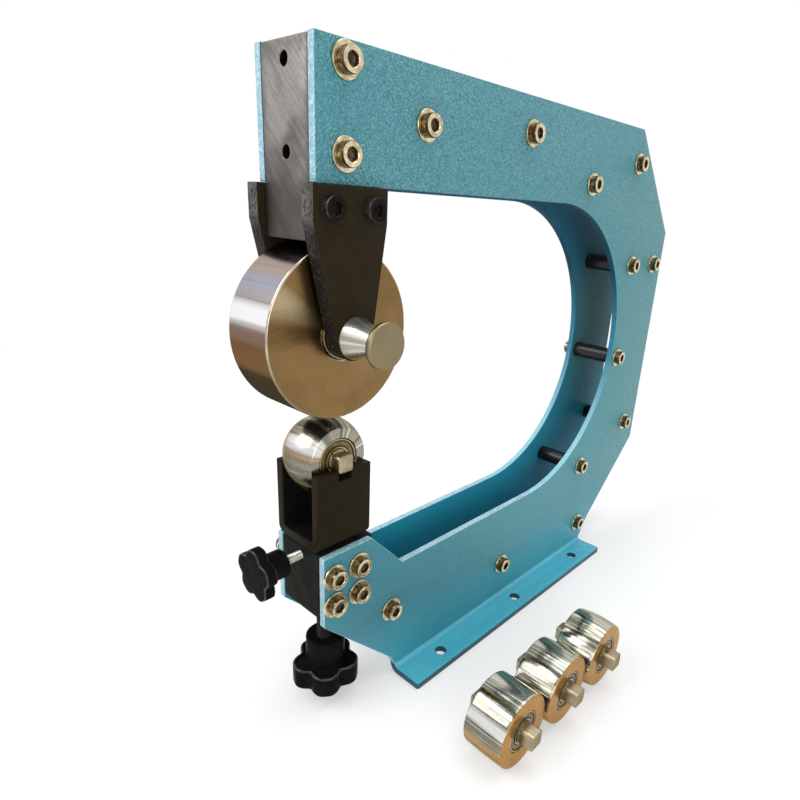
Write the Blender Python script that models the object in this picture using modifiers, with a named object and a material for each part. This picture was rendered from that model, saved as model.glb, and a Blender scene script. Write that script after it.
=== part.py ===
"""Bench english wheel: a C frame of two side plates, a wheel above and an anvil below."""

from math import cos, pi, sin, sqrt

import bmesh
import bpy
from mathutils import Euler, Matrix, Vector

# General fits, and how far a cutter runs past what it cuts
seat_gap = 0.0003
shaft_gap = 0.0003
bore_gap = 0.0003
overrun = 0.004
weld_distance = 0.00001

# Frame plates, as heights above the floor and depths behind the front edge
plate_thickness = 0.005
plate_spacing = 0.040
plate_height = 0.4135
plate_depth = 0.441
arm_underside = 0.3475
top_corner_run = 0.085
back_corner_drop = 0.0865
back_low_corner = 0.1028
heel_inset = 0.082
heel_height = 0.026
foot_back_inset = 0.093
throat_radius = 0.125
throat_column = 0.081
throat_floor = 0.0975
step_foot_depth = 0.073
step_top_depth = 0.043
nose_top = 0.129
nose_front = 0.003
nose_low = 0.078
chin_depth = 0.065
chin_height = 0.0165
foot_front = 0.069
foot_reach = 0.025
foot_bend_radius = 0.008
foot_hole_radius = 0.0045
foot_hole_reach = 0.0122
foot_hole_first = 0.1085
foot_hole_pitch = 0.102

# Spacer rods between the plates
spacer_radius = 0.0075
arm_front_spacer_depth = 0.078
arm_front_spacer_drop = 0.031
arm_mid_spacer_depth = 0.1835
arm_mid_spacer_drop = 0.023
corner_spacer_inset = 0.086
corner_spacer_drop = 0.0283
arm_back_spacer_inset = 0.1653
arm_back_spacer_drop = 0.050
column_spacer_inset = 0.070
outer_spacer_inset = 0.022
column_top_spacer_drop = 0.117
column_mid_spacer_drop = 0.2075
low_back_spacer_inset = 0.028
low_back_spacer_height = 0.1275
bend_spacer_inset = 0.116
bend_spacer_height = 0.0995
heel_spacer_inset = 0.105
heel_spacer_height = 0.0305
base_spacer_depth = 0.1995
base_spacer_height = 0.0395
chin_spacer_depth = 0.062
chin_spacer_height = 0.0629

# Frame screws and washers
screw_radius = 0.004
screw_head_radius = 0.0065
screw_head_height = 0.005
socket_radius = 0.0034
socket_depth = 0.003
washer_radius = 0.0088
washer_thickness = 0.0016
screw_grip = 0.012

# Upper block and fork
wheel_line = 0.0225
block_depth = 0.045
block_edge = 0.0012
upper_block_bottom = 0.319
upper_block_top_gap = 0.0005
upper_block_screw_depth = 0.0185
upper_block_screw_drop = 0.0096
upper_block_screw_pitch = 0.0419
front_hole_radius = 0.0035
front_hole_length = 0.024
fork_thickness = 0.0097
fork_width = 0.050
fork_forward = 0.0025
fork_shoulder = 0.3285
fork_end_radius = 0.0132
fork_screw_spacing = 0.028
fork_screw_height = 0.336
fork_screw_grip = 0.009
wheel_height = 0.2679

# Upper wheel and its pull pin
wheel_radius = 0.050
wheel_width = 0.037
wheel_edge = 0.0015
wheel_bearing_radius = 0.014
wheel_bearing_width = 0.007
bearing_bore_radius = 0.0075
pin_overhang = 0.002
pin_point = 0.002
pin_base_radius = 0.0123
pin_base_length = 0.001
pin_waist_radius = 0.00625
pin_waist_length = 0.017
pin_disc_radius = 0.01325
pin_disc_thickness = 0.0045
pin_neck_length = 0.004
pin_disc_edge = 0.0008

# Lower block
lower_block_height = 0.0478
lower_block_top_gap = 0.0002
lower_screw_first = 0.0108
lower_screw_pitch = 0.0204
lower_screw_drop = 0.0148
lower_screw_rise = 0.0208
lower_screw_grip = 0.0072
post_radius = 0.010
post_length = 0.034
post_travel_room = 0.003

# Anvil holder and anvils
holder_lift = 0.0025
holder_wall = 0.0062
holder_half_width = 0.0215
holder_floor = 0.006
holder_depth = 0.042
holder_height = 0.0522
holder_corner = 0.006
seat_depth = 0.0015
relief_depth = 0.0065
relief_shoulder = 0.0008
axle_square = 0.0114
axle_corner_share = 0.96
axle_half_length = 0.025
mounted_axle_slide = 0.0025
spigot_radius = 0.006
spigot_inset = 0.0005
anvil_radius = 0.0253
anvil_edge = 0.001
anvil_bearing_radius = 0.014
anvil_bearing_width = 0.007
bearing_recess = 0.0005
high_crown_radius = 0.0265
spare_crown_radii = (0.400, 0.150, 0.075)
spare_line = 0.099
spare_line_slant = 0.0018
spare_first_depth = 0.0735
spare_pitch = 0.0513

# Adjusting screw and the two star knobs
adjusting_screw_radius = 0.006
adjusting_screw_in_block = 0.018
adjusting_hub_radius = 0.0137
adjusting_hub_length = 0.0205
adjusting_star_radius = 0.0235
adjusting_star_depth = 0.016
adjusting_knob_floor = 0.0125
knob_bore_floor = 0.004
knob_edge = 0.001
clamp_stud_radius = 0.003
clamp_height_drop = 0.007
clamp_stud_show = 0.013
clamp_hub_radius = 0.0092
clamp_hub_length = 0.0145
clamp_star_radius = 0.0171
clamp_star_depth = 0.0075
star_lobes = 5
adjusting_star_turn_share = 0.064
clamp_star_turn_share = -0.083
star_valley_share = 0.79
star_slope_share = 0.92

# Rounding steps
fine_steps = 48
wheel_steps = 20
anvil_steps = 28
crown_steps = 4
small_steps = 10
throat_steps = 18
corner_steps = 4

# Worked out from the sizes above
plate_inner = plate_spacing / 2
plate_outer = plate_inner + plate_thickness
block_half_width = plate_inner - seat_gap
block_top = plate_height - upper_block_top_gap
throat_depth_centre = plate_depth - throat_column - throat_radius
throat_height_centre = throat_floor + throat_radius
fork_inner = plate_inner
fork_outer = fork_inner + fork_thickness
lower_block_top = nose_top - lower_block_top_gap
lower_block_bottom = lower_block_top - lower_block_height
holder_bottom = nose_top + holder_lift
holder_top = holder_bottom + holder_height
holder_inner = holder_half_width - holder_wall
anvil_half_width = holder_inner - seat_gap
seat_height = holder_top - seat_depth
anvil_height = seat_height + seat_gap + axle_square / 2
axle_radius = bearing_bore_radius - shaft_gap
post_top = holder_bottom - seat_gap
post_bottom = post_top - post_length
post_bore_floor = post_bottom - post_travel_room
adjusting_screw_top = post_bottom - seat_gap
adjusting_hub_top = adjusting_knob_floor + adjusting_star_depth + adjusting_hub_length
clamp_height = nose_top - clamp_height_drop
clamp_hub_start = clamp_stud_show - nose_front
clamp_star_start = clamp_hub_start + clamp_hub_length
clamp_front = clamp_star_start + clamp_star_depth
washer_start = plate_outer + seat_gap
washer_end = washer_start + washer_thickness


# Turns that lay a shape's own Z along the width or the depth, and a side outline's Z along the width
along_width = Euler((0, pi / 2, 0))
along_depth = Euler((-pi / 2, 0, 0))
along_height = Euler((0, 0, 0))
from_side = Euler((pi / 2, 0, pi / 2))
from_front = Euler((pi / 2, 0, 0))


def clear_scene():
    for item in list(bpy.data.objects):
        bpy.data.objects.remove(item, do_unlink=True)


def make_collection(name):
    group = bpy.data.collections.new(name)
    bpy.context.scene.collection.children.link(group)
    return group


def make_material(name, colour, metallic, roughness):
    material = bpy.data.materials.new(name)
    material.use_nodes = True
    shader = material.node_tree.nodes["Principled BSDF"]
    shader.inputs["Base Color"].default_value = (*colour, 1)
    shader.inputs["Metallic"].default_value = metallic
    shader.inputs["Roughness"].default_value = roughness
    return material


def put_in(group, name, data, place, turn):
    item = bpy.data.objects.new(name, data)
    item.location = Vector(place) + Vector(frame_shift)
    item.rotation_euler = turn
    group.objects.link(item)
    return item


def as_helper(item):
    item.display_type = "WIRE"
    item.hide_render = True
    return item


def smooth(part):
    part.data.shade_smooth()
    part.data.set_sharp_from_angle(angle=pi / 6)
    return part


def boolean(part, operation, tool):
    step = part.modifiers.new(operation.lower(), "BOOLEAN")
    step.operation = operation
    step.solver = "EXACT"
    step.object = as_helper(tool)


def turned(name, profile, steps, place, turn, material, group=None, ring=False):
    """A profile of (radius, distance along the axis), run from the far end back, turned by Screw."""
    work = bmesh.new()
    points = [work.verts.new((radius, 0, along)) for radius, along in profile]
    for first, second in zip(points, points[1:]):
        work.edges.new((first, second))
    if ring:
        work.edges.new((points[-1], points[0]))
    mesh = bpy.data.meshes.new(name)
    work.to_mesh(mesh)
    work.free()
    if material:
        mesh.materials.append(material)
    item = put_in(group or parts, name, mesh, place, turn)
    screw = item.modifiers.new("turn", "SCREW")
    screw.angle = 2 * pi
    screw.steps = steps
    screw.render_steps = steps
    screw.use_merge_vertices = True
    screw.merge_threshold = weld_distance
    screw.use_smooth_shade = False
    return item


def flat_shape(name, outline, thickness, place, turn, material, group=None):
    """A filled outline given its thickness both ways from its own plane, as a mesh."""
    curve = bpy.data.curves.new(name + "_outline", "CURVE")
    curve.dimensions = "2D"
    curve.fill_mode = "BOTH"
    curve.extrude = thickness / 2
    spline = curve.splines.new("POLY")
    spline.points.add(len(outline) - 1)
    for point, (first, second) in zip(spline.points, outline):
        point.co = (first, second, 0, 1)
    spline.use_cyclic_u = True
    drawn = put_in(cutters, name + "_outline", curve, (0, 0, 0), along_height)
    bpy.context.view_layer.update()
    graph = bpy.context.evaluated_depsgraph_get()
    mesh = bpy.data.meshes.new_from_object(drawn.evaluated_get(graph))
    bpy.data.objects.remove(drawn, do_unlink=True)
    work = bmesh.new()
    work.from_mesh(mesh)
    bmesh.ops.remove_doubles(work, verts=work.verts, dist=weld_distance)
    bmesh.ops.recalc_face_normals(work, faces=work.faces)
    work.to_mesh(mesh)
    work.free()
    mesh.name = name
    if material:
        mesh.materials.append(material)
    return put_in(group or parts, name, mesh, place, turn)


def box_between(name, low, high, edge, material):
    """A box from its low corner to its high one, with a small bevel on every edge."""
    size = [b - a for a, b in zip(low, high)]
    middle = [(a + b) / 2 for a, b in zip(low, high)]
    work = bmesh.new()
    bmesh.ops.create_cube(work, size=1, matrix=Matrix.Diagonal((*size, 1)))
    mesh = bpy.data.meshes.new(name)
    work.to_mesh(mesh)
    work.free()
    mesh.materials.append(material)
    item = put_in(parts, name, mesh, middle, along_height)
    bevel = item.modifiers.new("edges", "BEVEL")
    bevel.width = edge
    bevel.segments = 1
    return item


def rods(name, pieces):
    """Round cutters in one helper, each with its turn, place, radius, start, end and steps."""
    work = bmesh.new()
    for turn, place, radius, start, end, steps in pieces:
        middle = Matrix.Translation((0, 0, (start + end) / 2))
        stand = Matrix.Translation(place) @ turn.to_matrix().to_4x4() @ middle
        bmesh.ops.create_cone(work, cap_ends=True, segments=steps, radius1=radius, radius2=radius,
                              depth=abs(end - start), matrix=stand)
    mesh = bpy.data.meshes.new(name)
    work.to_mesh(mesh)
    work.free()
    return put_in(cutters, name, mesh, (0, 0, 0), along_height)


def arc(centre, radius, start, end, steps):
    """Points on an arc, its ends given as shares of a full turn."""
    angles = [2 * pi * (start + (end - start) * step / steps) for step in range(steps + 1)]
    return [(centre[0] + radius * cos(angle), centre[1] + radius * sin(angle)) for angle in angles]


def spacer_places():
    """Depth and height of every spacer rod."""
    return (
        (arm_front_spacer_depth, plate_height - arm_front_spacer_drop),
        (arm_mid_spacer_depth, plate_height - arm_mid_spacer_drop),
        (plate_depth - corner_spacer_inset, plate_height - corner_spacer_drop),
        (plate_depth - arm_back_spacer_inset, plate_height - arm_back_spacer_drop),
        (plate_depth - column_spacer_inset, plate_height - column_top_spacer_drop),
        (plate_depth - outer_spacer_inset, plate_height - column_top_spacer_drop),
        (plate_depth - column_spacer_inset, plate_height - column_mid_spacer_drop),
        (plate_depth - low_back_spacer_inset, low_back_spacer_height),
        (plate_depth - bend_spacer_inset, bend_spacer_height),
        (plate_depth - heel_spacer_inset, heel_spacer_height),
        (base_spacer_depth, base_spacer_height),
        (chin_spacer_depth, chin_spacer_height),
    )


def upper_screw_places():
    first = plate_height - upper_block_screw_drop
    return ((upper_block_screw_depth, first), (upper_block_screw_depth, first - upper_block_screw_pitch))


def lower_screw_places():
    depths = (lower_screw_first, lower_screw_first + lower_screw_pitch)
    top = lower_block_top - lower_screw_drop
    return tuple((depth, height) for depth in depths for height in (top, top - lower_screw_rise))


def fork_screw_places():
    middle = wheel_line - fork_forward
    return tuple((middle + step * fork_screw_spacing / 2, fork_screw_height) for step in (-1, 1))


def foot_hole_places():
    reach = plate_outer + foot_hole_reach
    return tuple((reach, foot_hole_first + foot_hole_pitch * step) for step in range(3))


def plate_outline():
    """The C shape of a side plate from its top front corner, running below the floor at the foot."""
    foot_back = plate_depth - foot_back_inset
    centre = (throat_depth_centre, throat_height_centre)
    return [
        (0, plate_height), (0, arm_underside), (throat_depth_centre, arm_underside),
        *arc(centre, throat_radius, 1 / 4, -1 / 4, throat_steps)[1:],
        (step_foot_depth, throat_floor), (step_top_depth, nose_top), (nose_front, nose_top),
        (nose_front, nose_low),
        (chin_depth, chin_height), (foot_front, foot_bend_radius), (foot_front, -overrun),
        (foot_back, -overrun), (foot_back, foot_bend_radius),
        (plate_depth - heel_inset, heel_height), (plate_depth, back_low_corner),
        (plate_depth, plate_height - back_corner_drop), (plate_depth - top_corner_run, plate_height),
    ]


def sheet_section(side):
    """The folded sheet from the front: up the plate's inner face, over the top and out to the foot's edge."""
    centre = (plate_inner + foot_bend_radius, foot_bend_radius)
    top = plate_height + overrun
    outer = arc(centre, foot_bend_radius, 1 / 2, 3 / 4, corner_steps)
    inner = arc(centre, foot_bend_radius - plate_thickness, 3 / 4, 1 / 2, corner_steps)
    edge = plate_outer + foot_reach
    section = [(plate_inner, top), *outer, (edge, 0), (edge, plate_thickness), *inner, (plate_outer, top)]
    return [(side * first, second) for first, second in section]


def plate_holes(name, side):
    """Screw holes through a side plate and bolt holes through its foot."""
    places = spacer_places() + upper_screw_places() + lower_screw_places()
    near, far = sorted((side * (plate_inner - overrun), side * (plate_outer + overrun)))
    clear = screw_radius + bore_gap
    holes = [(along_width, (0, depth, height), clear, near, far, small_steps) for depth, height in places]
    for reach, depth in foot_hole_places():
        holes.append((along_height, (side * reach, depth, 0), foot_hole_radius, -overrun,
                      plate_thickness + overrun, small_steps))
    return rods(name, holes)


def build_plates():
    """Each plate is a folded sheet trimmed to the side outline and then drilled."""
    middle = plate_depth / 2
    width = 2 * (plate_outer + foot_reach + overrun)
    for name, side in (("side_plate_left", -1), ("side_plate_right", 1)):
        plate = flat_shape(name, sheet_section(side), plate_depth + 2 * overrun, (0, middle, 0), from_front, plate_paint)
        trim = flat_shape(name + "_trim", plate_outline(), width, (0, 0, 0), from_side, None, cutters)
        boolean(plate, "INTERSECT", trim)
        boolean(plate, "DIFFERENCE", plate_holes(name + "_holes", side))


def bolt_end(grip):
    """A socket head cap screw on its washer, from the bottom of its socket back to its shank."""
    head_end = washer_end + screw_head_height
    return [
        (0, head_end - socket_depth), (socket_radius, head_end - socket_depth), (socket_radius, head_end),
        (screw_head_radius, head_end), (screw_head_radius, washer_end), (washer_radius, washer_end),
        (washer_radius, washer_start), (screw_radius, washer_start), (screw_radius, grip),
    ]


def facing(side):
    """The turn that points a screw's head to the right or to the left."""
    return along_width if side > 0 else Euler((0, -pi / 2, 0))


def build_spacers():
    """Each spacer rod with the screw and washer at both of its ends."""
    half = bolt_end(block_half_width) + [(spacer_radius, block_half_width)]
    profile = half + [(radius, -along) for radius, along in reversed(half)]
    first = None
    for index, (depth, height) in enumerate(spacer_places()):
        name = "spacer_bolt_" + str(index + 1)
        if first is None:
            first = smooth(turned(name, profile, small_steps, (0, depth, height), along_width, black_steel))
        else:
            copy_to(first, name, (0, depth, height), along_width)


def copy_to(item, name, place, turn):
    """Another object on the same mesh, with the same modifiers."""
    twin = item.copy()
    twin.name = name
    twin.location = Vector(place) + Vector(frame_shift)
    twin.rotation_euler = turn
    parts.objects.link(twin)
    return twin


def screw_set(prefix, places, profile, material):
    """One screw from each side at every place."""
    first = None
    for label, side in (("left", -1), ("right", 1)):
        for index, (depth, height) in enumerate(places):
            name = prefix + "_" + label + "_" + str(index + 1)
            place = (0, depth, height)
            if first is None:
                first = smooth(turned(name, profile, small_steps, place, facing(side), material))
            else:
                copy_to(first, name, place, facing(side))


def blind_bores(places, floor, mouth):
    """Bores from both sides of a block, from the mouth to a floor this far from the middle."""
    bores = []
    for side in (-1, 1):
        near, far = sorted((side * floor, side * mouth))
        for depth, height in places:
            bores.append((along_width, (0, depth, height), screw_radius + bore_gap, near, far, small_steps))
    return bores


def build_upper_block():
    low = (-block_half_width, 0, upper_block_bottom)
    high = (block_half_width, block_depth, block_top)
    block = box_between("upper_block", low, high, block_edge, dark_steel)
    mouth = block_half_width + overrun
    bores = blind_bores(upper_screw_places(), plate_inner - screw_grip - bore_gap, mouth)
    bores += blind_bores(fork_screw_places(), fork_inner - fork_screw_grip - bore_gap, mouth)
    for depth, height in upper_screw_places():
        bores.append((along_depth, (0, 0, height), front_hole_radius, -overrun, front_hole_length, small_steps))
    boolean(block, "DIFFERENCE", rods("upper_block_bores", bores))
    tip = plate_inner - screw_grip
    screw_set("upper_block_screw", upper_screw_places(), bolt_end(tip) + [(0, tip)], zinc)


def fork_outline():
    """A fork plate, square under the arm and tapering to a round end at the wheel's axle."""
    front = wheel_line - fork_forward - fork_width / 2
    back = front + fork_width
    top = arm_underside - seat_gap
    end = arc((wheel_line, wheel_height), fork_end_radius, 1 / 2, 1, small_steps)
    return [(front, top), (front, fork_shoulder), *end, (back, fork_shoulder), (back, top)]


def build_fork():
    bores = [(along_width, (0, *place), screw_radius + bore_gap, -fork_outer - overrun, fork_outer + overrun,
              small_steps) for place in fork_screw_places()]
    bores.append((along_width, (0, wheel_line, wheel_height), bearing_bore_radius, -fork_outer - overrun,
                  fork_outer + overrun, wheel_steps))
    cutter = rods("fork_bores", bores)
    for name, side in (("fork_plate_left", -1), ("fork_plate_right", 1)):
        place = (side * (fork_inner + fork_outer) / 2, 0, 0)
        plate = flat_shape(name, fork_outline(), fork_thickness, place, from_side, black_oxide)
        boolean(plate, "DIFFERENCE", cutter)
    seat = fork_outer + seat_gap
    head_end = seat + screw_head_height
    tip = fork_inner - fork_screw_grip
    profile = [
        (0, head_end - socket_depth), (socket_radius, head_end - socket_depth), (socket_radius, head_end),
        (screw_head_radius, head_end), (screw_head_radius, seat), (screw_radius, seat), (screw_radius, tip), (0, tip),
    ]
    screw_set("fork_screw", fork_screw_places(), profile, black_oxide)


def ring_profile(inner, outer, start, end):
    return [(outer, end), (outer, start), (inner, start), (inner, end)]


def build_bearings(prefix, place, radius, width, reach):
    """Two ball bearings, their outer faces this far from the wheel's middle."""
    for label, side in (("left", -1), ("right", 1)):
        start, end = sorted((side * reach, side * (reach - width)))
        profile = ring_profile(bearing_bore_radius, radius, start, end)
        smooth(turned(prefix + label, profile, wheel_steps, place, along_width, bearing_steel, ring=True))


def build_upper_wheel():
    place = (0, wheel_line, wheel_height)
    half = wheel_width / 2
    rim = wheel_radius - wheel_edge
    bore = wheel_bearing_radius + bore_gap
    profile = [(rim, half), (wheel_radius, half - wheel_edge), (wheel_radius, wheel_edge - half), (rim, -half),
               (bore, -half), (bore, half)]
    smooth(turned("upper_wheel", profile, fine_steps, place, along_width, polished_steel, ring=True))
    build_bearings("upper_wheel_bearing_", place, wheel_bearing_radius, wheel_bearing_width, fork_inner - seat_gap)


def build_pin():
    """The wheel's axle, a pin that is pulled out by its knob."""
    base = fork_outer + seat_gap
    waist = base + pin_base_length + pin_waist_length
    disc = waist + pin_neck_length
    tip = -fork_outer - pin_overhang
    end = disc + pin_disc_thickness
    profile = [
        (0, end), (pin_disc_radius - pin_disc_edge, end), (pin_disc_radius, end - pin_disc_edge),
        (pin_disc_radius, disc + pin_disc_edge), (pin_disc_radius - pin_disc_edge, disc),
        (pin_waist_radius, disc), (pin_waist_radius, waist),
        (pin_base_radius, base + pin_base_length), (pin_base_radius, base),
        (axle_radius, base), (axle_radius, tip + pin_point), (axle_radius - pin_point, tip), (0, tip),
    ]
    place = (0, wheel_line, wheel_height)
    smooth(turned("wheel_axle_pin", profile, wheel_steps, place, along_width, bright_metal))


def build_lower_block():
    low = (-block_half_width, nose_front, lower_block_bottom)
    high = (block_half_width, nose_front + block_depth, lower_block_top)
    block = box_between("lower_block", low, high, block_edge, dark_steel)
    mouth = block_half_width + overrun
    bores = blind_bores(lower_screw_places(), plate_inner - lower_screw_grip - bore_gap, mouth)
    boolean(block, "DIFFERENCE", rods("lower_block_screw_bores", bores))
    thread = adjusting_screw_radius + bore_gap
    post = post_radius + bore_gap
    profile = [(0, lower_block_top + overrun), (post, lower_block_top + overrun), (post, post_bore_floor),
               (thread, post_bore_floor), (thread, lower_block_bottom - overrun), (0, lower_block_bottom - overrun)]
    bore = turned("post_bore", profile, wheel_steps, (0, wheel_line, 0), along_height, None, cutters)
    boolean(block, "DIFFERENCE", bore)
    clamp_bore = (along_depth, (0, 0, clamp_height), clamp_stud_radius + bore_gap, nose_front - overrun,
                  wheel_line, small_steps)
    boolean(block, "DIFFERENCE", rods("clamp_bore", [clamp_bore]))
    tip = plate_inner - lower_screw_grip
    screw_set("lower_block_screw", lower_screw_places(), bolt_end(tip) + [(0, tip)], zinc)


def holder_outline():
    """The U of the anvil holder, seen from the front."""
    half = holder_half_width
    corner = holder_corner
    floor = holder_bottom + holder_floor
    left = arc((corner - half, holder_bottom + corner), corner, 1 / 2, 3 / 4, corner_steps)
    right = arc((half - corner, holder_bottom + corner), corner, 3 / 4, 1, corner_steps)
    return [(-half, holder_top), *left, *right, (half, holder_top), (holder_inner, holder_top),
            (holder_inner, floor), (-holder_inner, floor), (-holder_inner, holder_top)]


def notch_outline():
    """The seat for the squared axle with a narrower relief under it."""
    seat = axle_square / 2 + shaft_gap
    relief = seat - relief_shoulder
    floor = holder_top - relief_depth
    half = [(seat, holder_top + overrun), (seat, seat_height), (relief, seat_height), (relief, floor)]
    return ([(wheel_line + across, height) for across, height in half]
            + [(wheel_line - across, height) for across, height in reversed(half)])


def build_holder():
    shape = holder_outline()
    holder = flat_shape("anvil_holder", shape, holder_depth, (0, wheel_line, 0), from_front, black_oxide)
    width = 2 * (holder_half_width + overrun)
    notch = flat_shape("axle_notch", notch_outline(), width, (0, 0, 0), from_side, None, cutters)
    boolean(holder, "DIFFERENCE", notch)
    hole = (along_height, (0, wheel_line, 0), spigot_radius + bore_gap, holder_bottom - overrun,
            holder_bottom + holder_floor + overrun, wheel_steps)
    boolean(holder, "DIFFERENCE", rods("spigot_hole", [hole]))
    spigot_top = holder_bottom + holder_floor - spigot_inset
    profile = [(0, spigot_top), (spigot_radius, spigot_top), (spigot_radius, post_top), (post_radius, post_top),
               (post_radius, post_bottom), (0, post_bottom)]
    place = (0, wheel_line, 0)
    smooth(turned("holder_post", profile, wheel_steps, place, along_height, black_oxide))


def crowned_profile(crown):
    """Half section of an anvil: a crowned face and the bore for its bearings."""
    half = anvil_half_width
    bore = anvil_bearing_radius + bore_gap
    edge = half - anvil_edge
    places = [edge - 2 * edge * step / crown_steps for step in range(crown_steps + 1)]
    face = [(anvil_radius - crown + sqrt(crown * crown - along * along), along) for along in places]
    rim = face[0][0] - anvil_edge
    return [(rim, half), *face, (rim, -half), (bore, -half), (bore, half)]


def build_anvil(prefix, place, crown, axle_slide):
    """An anvil with its two bearings and its axle, round in the bearings and squared at the ends."""
    profile = crowned_profile(crown)
    smooth(turned(prefix + "wheel", profile, anvil_steps, place, along_width, chrome, ring=True))
    build_bearings(prefix + "bearing_", place, anvil_bearing_radius, anvil_bearing_width,
                   anvil_half_width - bearing_recess)
    body = anvil_half_width
    profile = [(0, body), (axle_radius, body), (axle_radius, -body), (0, -body)]
    axle = turned(prefix + "axle", profile, wheel_steps, place, along_width, bright_metal)
    flat = axle_square / 2
    corner = axle_corner_share * axle_radius
    short = sqrt(corner * corner - flat * flat)
    square = [(flat, short), (short, flat), (-short, flat), (-flat, short),
              (-flat, -short), (-short, -flat), (short, -flat), (flat, -short)]
    middle = (place[0] - axle_slide, place[1], place[2])
    ends = flat_shape(prefix + "axle_ends", square, 2 * axle_half_length, middle, from_side, None, cutters)
    ends.parent = axle
    ends.matrix_parent_inverse = axle_matrix(axle).inverted()
    boolean(axle, "UNION", ends)


def axle_matrix(axle):
    return Matrix.Translation(axle.location) @ axle.rotation_euler.to_matrix().to_4x4()


def star_outline(tip, turn_share):
    """A star with rounded lobes, turned by a share of a full turn."""
    valley = tip * star_valley_share
    slope = tip * star_slope_share
    radii = (tip, tip, slope, valley, valley, slope)
    count = star_lobes * len(radii)
    angles = [2 * pi * ((step + 1 / 2) / count + turn_share) for step in range(count)]
    return [(radii[step % len(radii)] * cos(angle), radii[step % len(radii)] * sin(angle))
            for step, angle in enumerate(angles)]


def star_knob(name, outline, hub, face, middle, hub_end, bore, place, turn):
    """A star with a hub on it and a blind bore up the middle, by distances along its axis."""
    centre = turn.to_matrix() @ Vector((0, 0, (face + middle) / 2)) + Vector(place)
    knob = flat_shape(name, outline, middle - face, centre, turn, gloss_black)
    back = (face + middle) / 2
    profile = [(0, hub_end), (hub - knob_edge, hub_end), (hub, hub_end - knob_edge), (hub, back), (0, back)]
    boolean(knob, "UNION", turned(name + "_hub", profile, wheel_steps, place, turn, None, cutters))
    floor = face + knob_bore_floor
    boolean(knob, "DIFFERENCE", rods(name + "_bore", [(turn, place, bore, floor, hub_end + overrun, wheel_steps)]))
    return knob


def build_adjuster():
    """The screw that lifts the post, and the star knob under it."""
    place = (0, wheel_line, 0)
    start = adjusting_knob_floor + knob_bore_floor + bore_gap
    radius = adjusting_screw_radius
    profile = [(0, adjusting_screw_top), (radius, adjusting_screw_top), (radius, start), (0, start)]
    smooth(turned("adjusting_screw", profile, wheel_steps, place, along_height, black_steel))
    face = adjusting_knob_floor
    star_knob("adjusting_knob", star_outline(adjusting_star_radius, adjusting_star_turn_share),
              adjusting_hub_radius, face, face + adjusting_star_depth,
              face + adjusting_star_depth + adjusting_hub_length, radius + bore_gap, place, along_height)


def build_clamp():
    """The stud that holds the post still, and its star knob at the front."""
    place = (0, 0, clamp_height)
    end = wheel_line - post_radius - seat_gap
    start = -clamp_front + knob_bore_floor + bore_gap
    radius = clamp_stud_radius
    profile = [(0, end), (radius, end), (radius, start), (0, start)]
    smooth(turned("clamp_stud", profile, wheel_steps, place, along_depth, bright_metal))
    star_knob("clamp_knob", star_outline(clamp_star_radius, clamp_star_turn_share),
              clamp_hub_radius, -clamp_front, -clamp_star_start, -clamp_hub_start, radius + bore_gap,
              place, along_depth)


def build_spares():
    for index, crown in enumerate(spare_crown_radii):
        across = spare_line + plate_outer + spare_line_slant * index
        place = (across, spare_first_depth + spare_pitch * index, anvil_radius)
        build_anvil("spare_anvil_" + str(index + 1) + "_", place, crown, 0)


clear_scene()
parts = make_collection("english_wheel")
cutters = make_collection("cutters")
plate_paint = make_material("blue_plate_paint", (0.10, 0.30, 0.37), 0.0, 0.5)
dark_steel = make_material("dark_block_steel", (0.05, 0.05, 0.055), 0.8, 0.4)
black_oxide = make_material("black_oxide_steel", (0.02, 0.02, 0.02), 0.6, 0.5)
black_steel = make_material("black_rod_steel", (0.03, 0.03, 0.03), 0.6, 0.45)
zinc = make_material("yellow_zinc", (0.55, 0.45, 0.28), 1.0, 0.3)
polished_steel = make_material("polished_wheel_steel", (0.55, 0.54, 0.52), 1.0, 0.2)
bearing_steel = make_material("bearing_steel", (0.45, 0.44, 0.42), 1.0, 0.3)
bright_metal = make_material("bright_metal", (0.6, 0.58, 0.54), 1.0, 0.3)
chrome = make_material("anvil_chrome", (0.65, 0.64, 0.62), 1.0, 0.08)
gloss_black = make_material("gloss_black_plastic", (0.01, 0.01, 0.01), 0.0, 0.2)

# The origin stands on the floor under the middle of everything that is shown
left_edge = -plate_outer - foot_reach
right_edge = plate_outer + spare_line + spare_line_slant * (len(spare_crown_radii) - 1) + axle_half_length
frame_shift = (-(left_edge + right_edge) / 2, -(plate_depth - clamp_front) / 2, 0)

build_plates()
build_spacers()
build_upper_block()
build_fork()
build_upper_wheel()
build_pin()
build_lower_block()
build_holder()
build_anvil("anvil_", (0, wheel_line, anvil_height), high_crown_radius, mounted_axle_slide)
build_adjuster()
build_clamp()
build_spares()
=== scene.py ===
import math

import bmesh
import bpy
import numpy as np
from mathutils import Matrix, Vector


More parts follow.
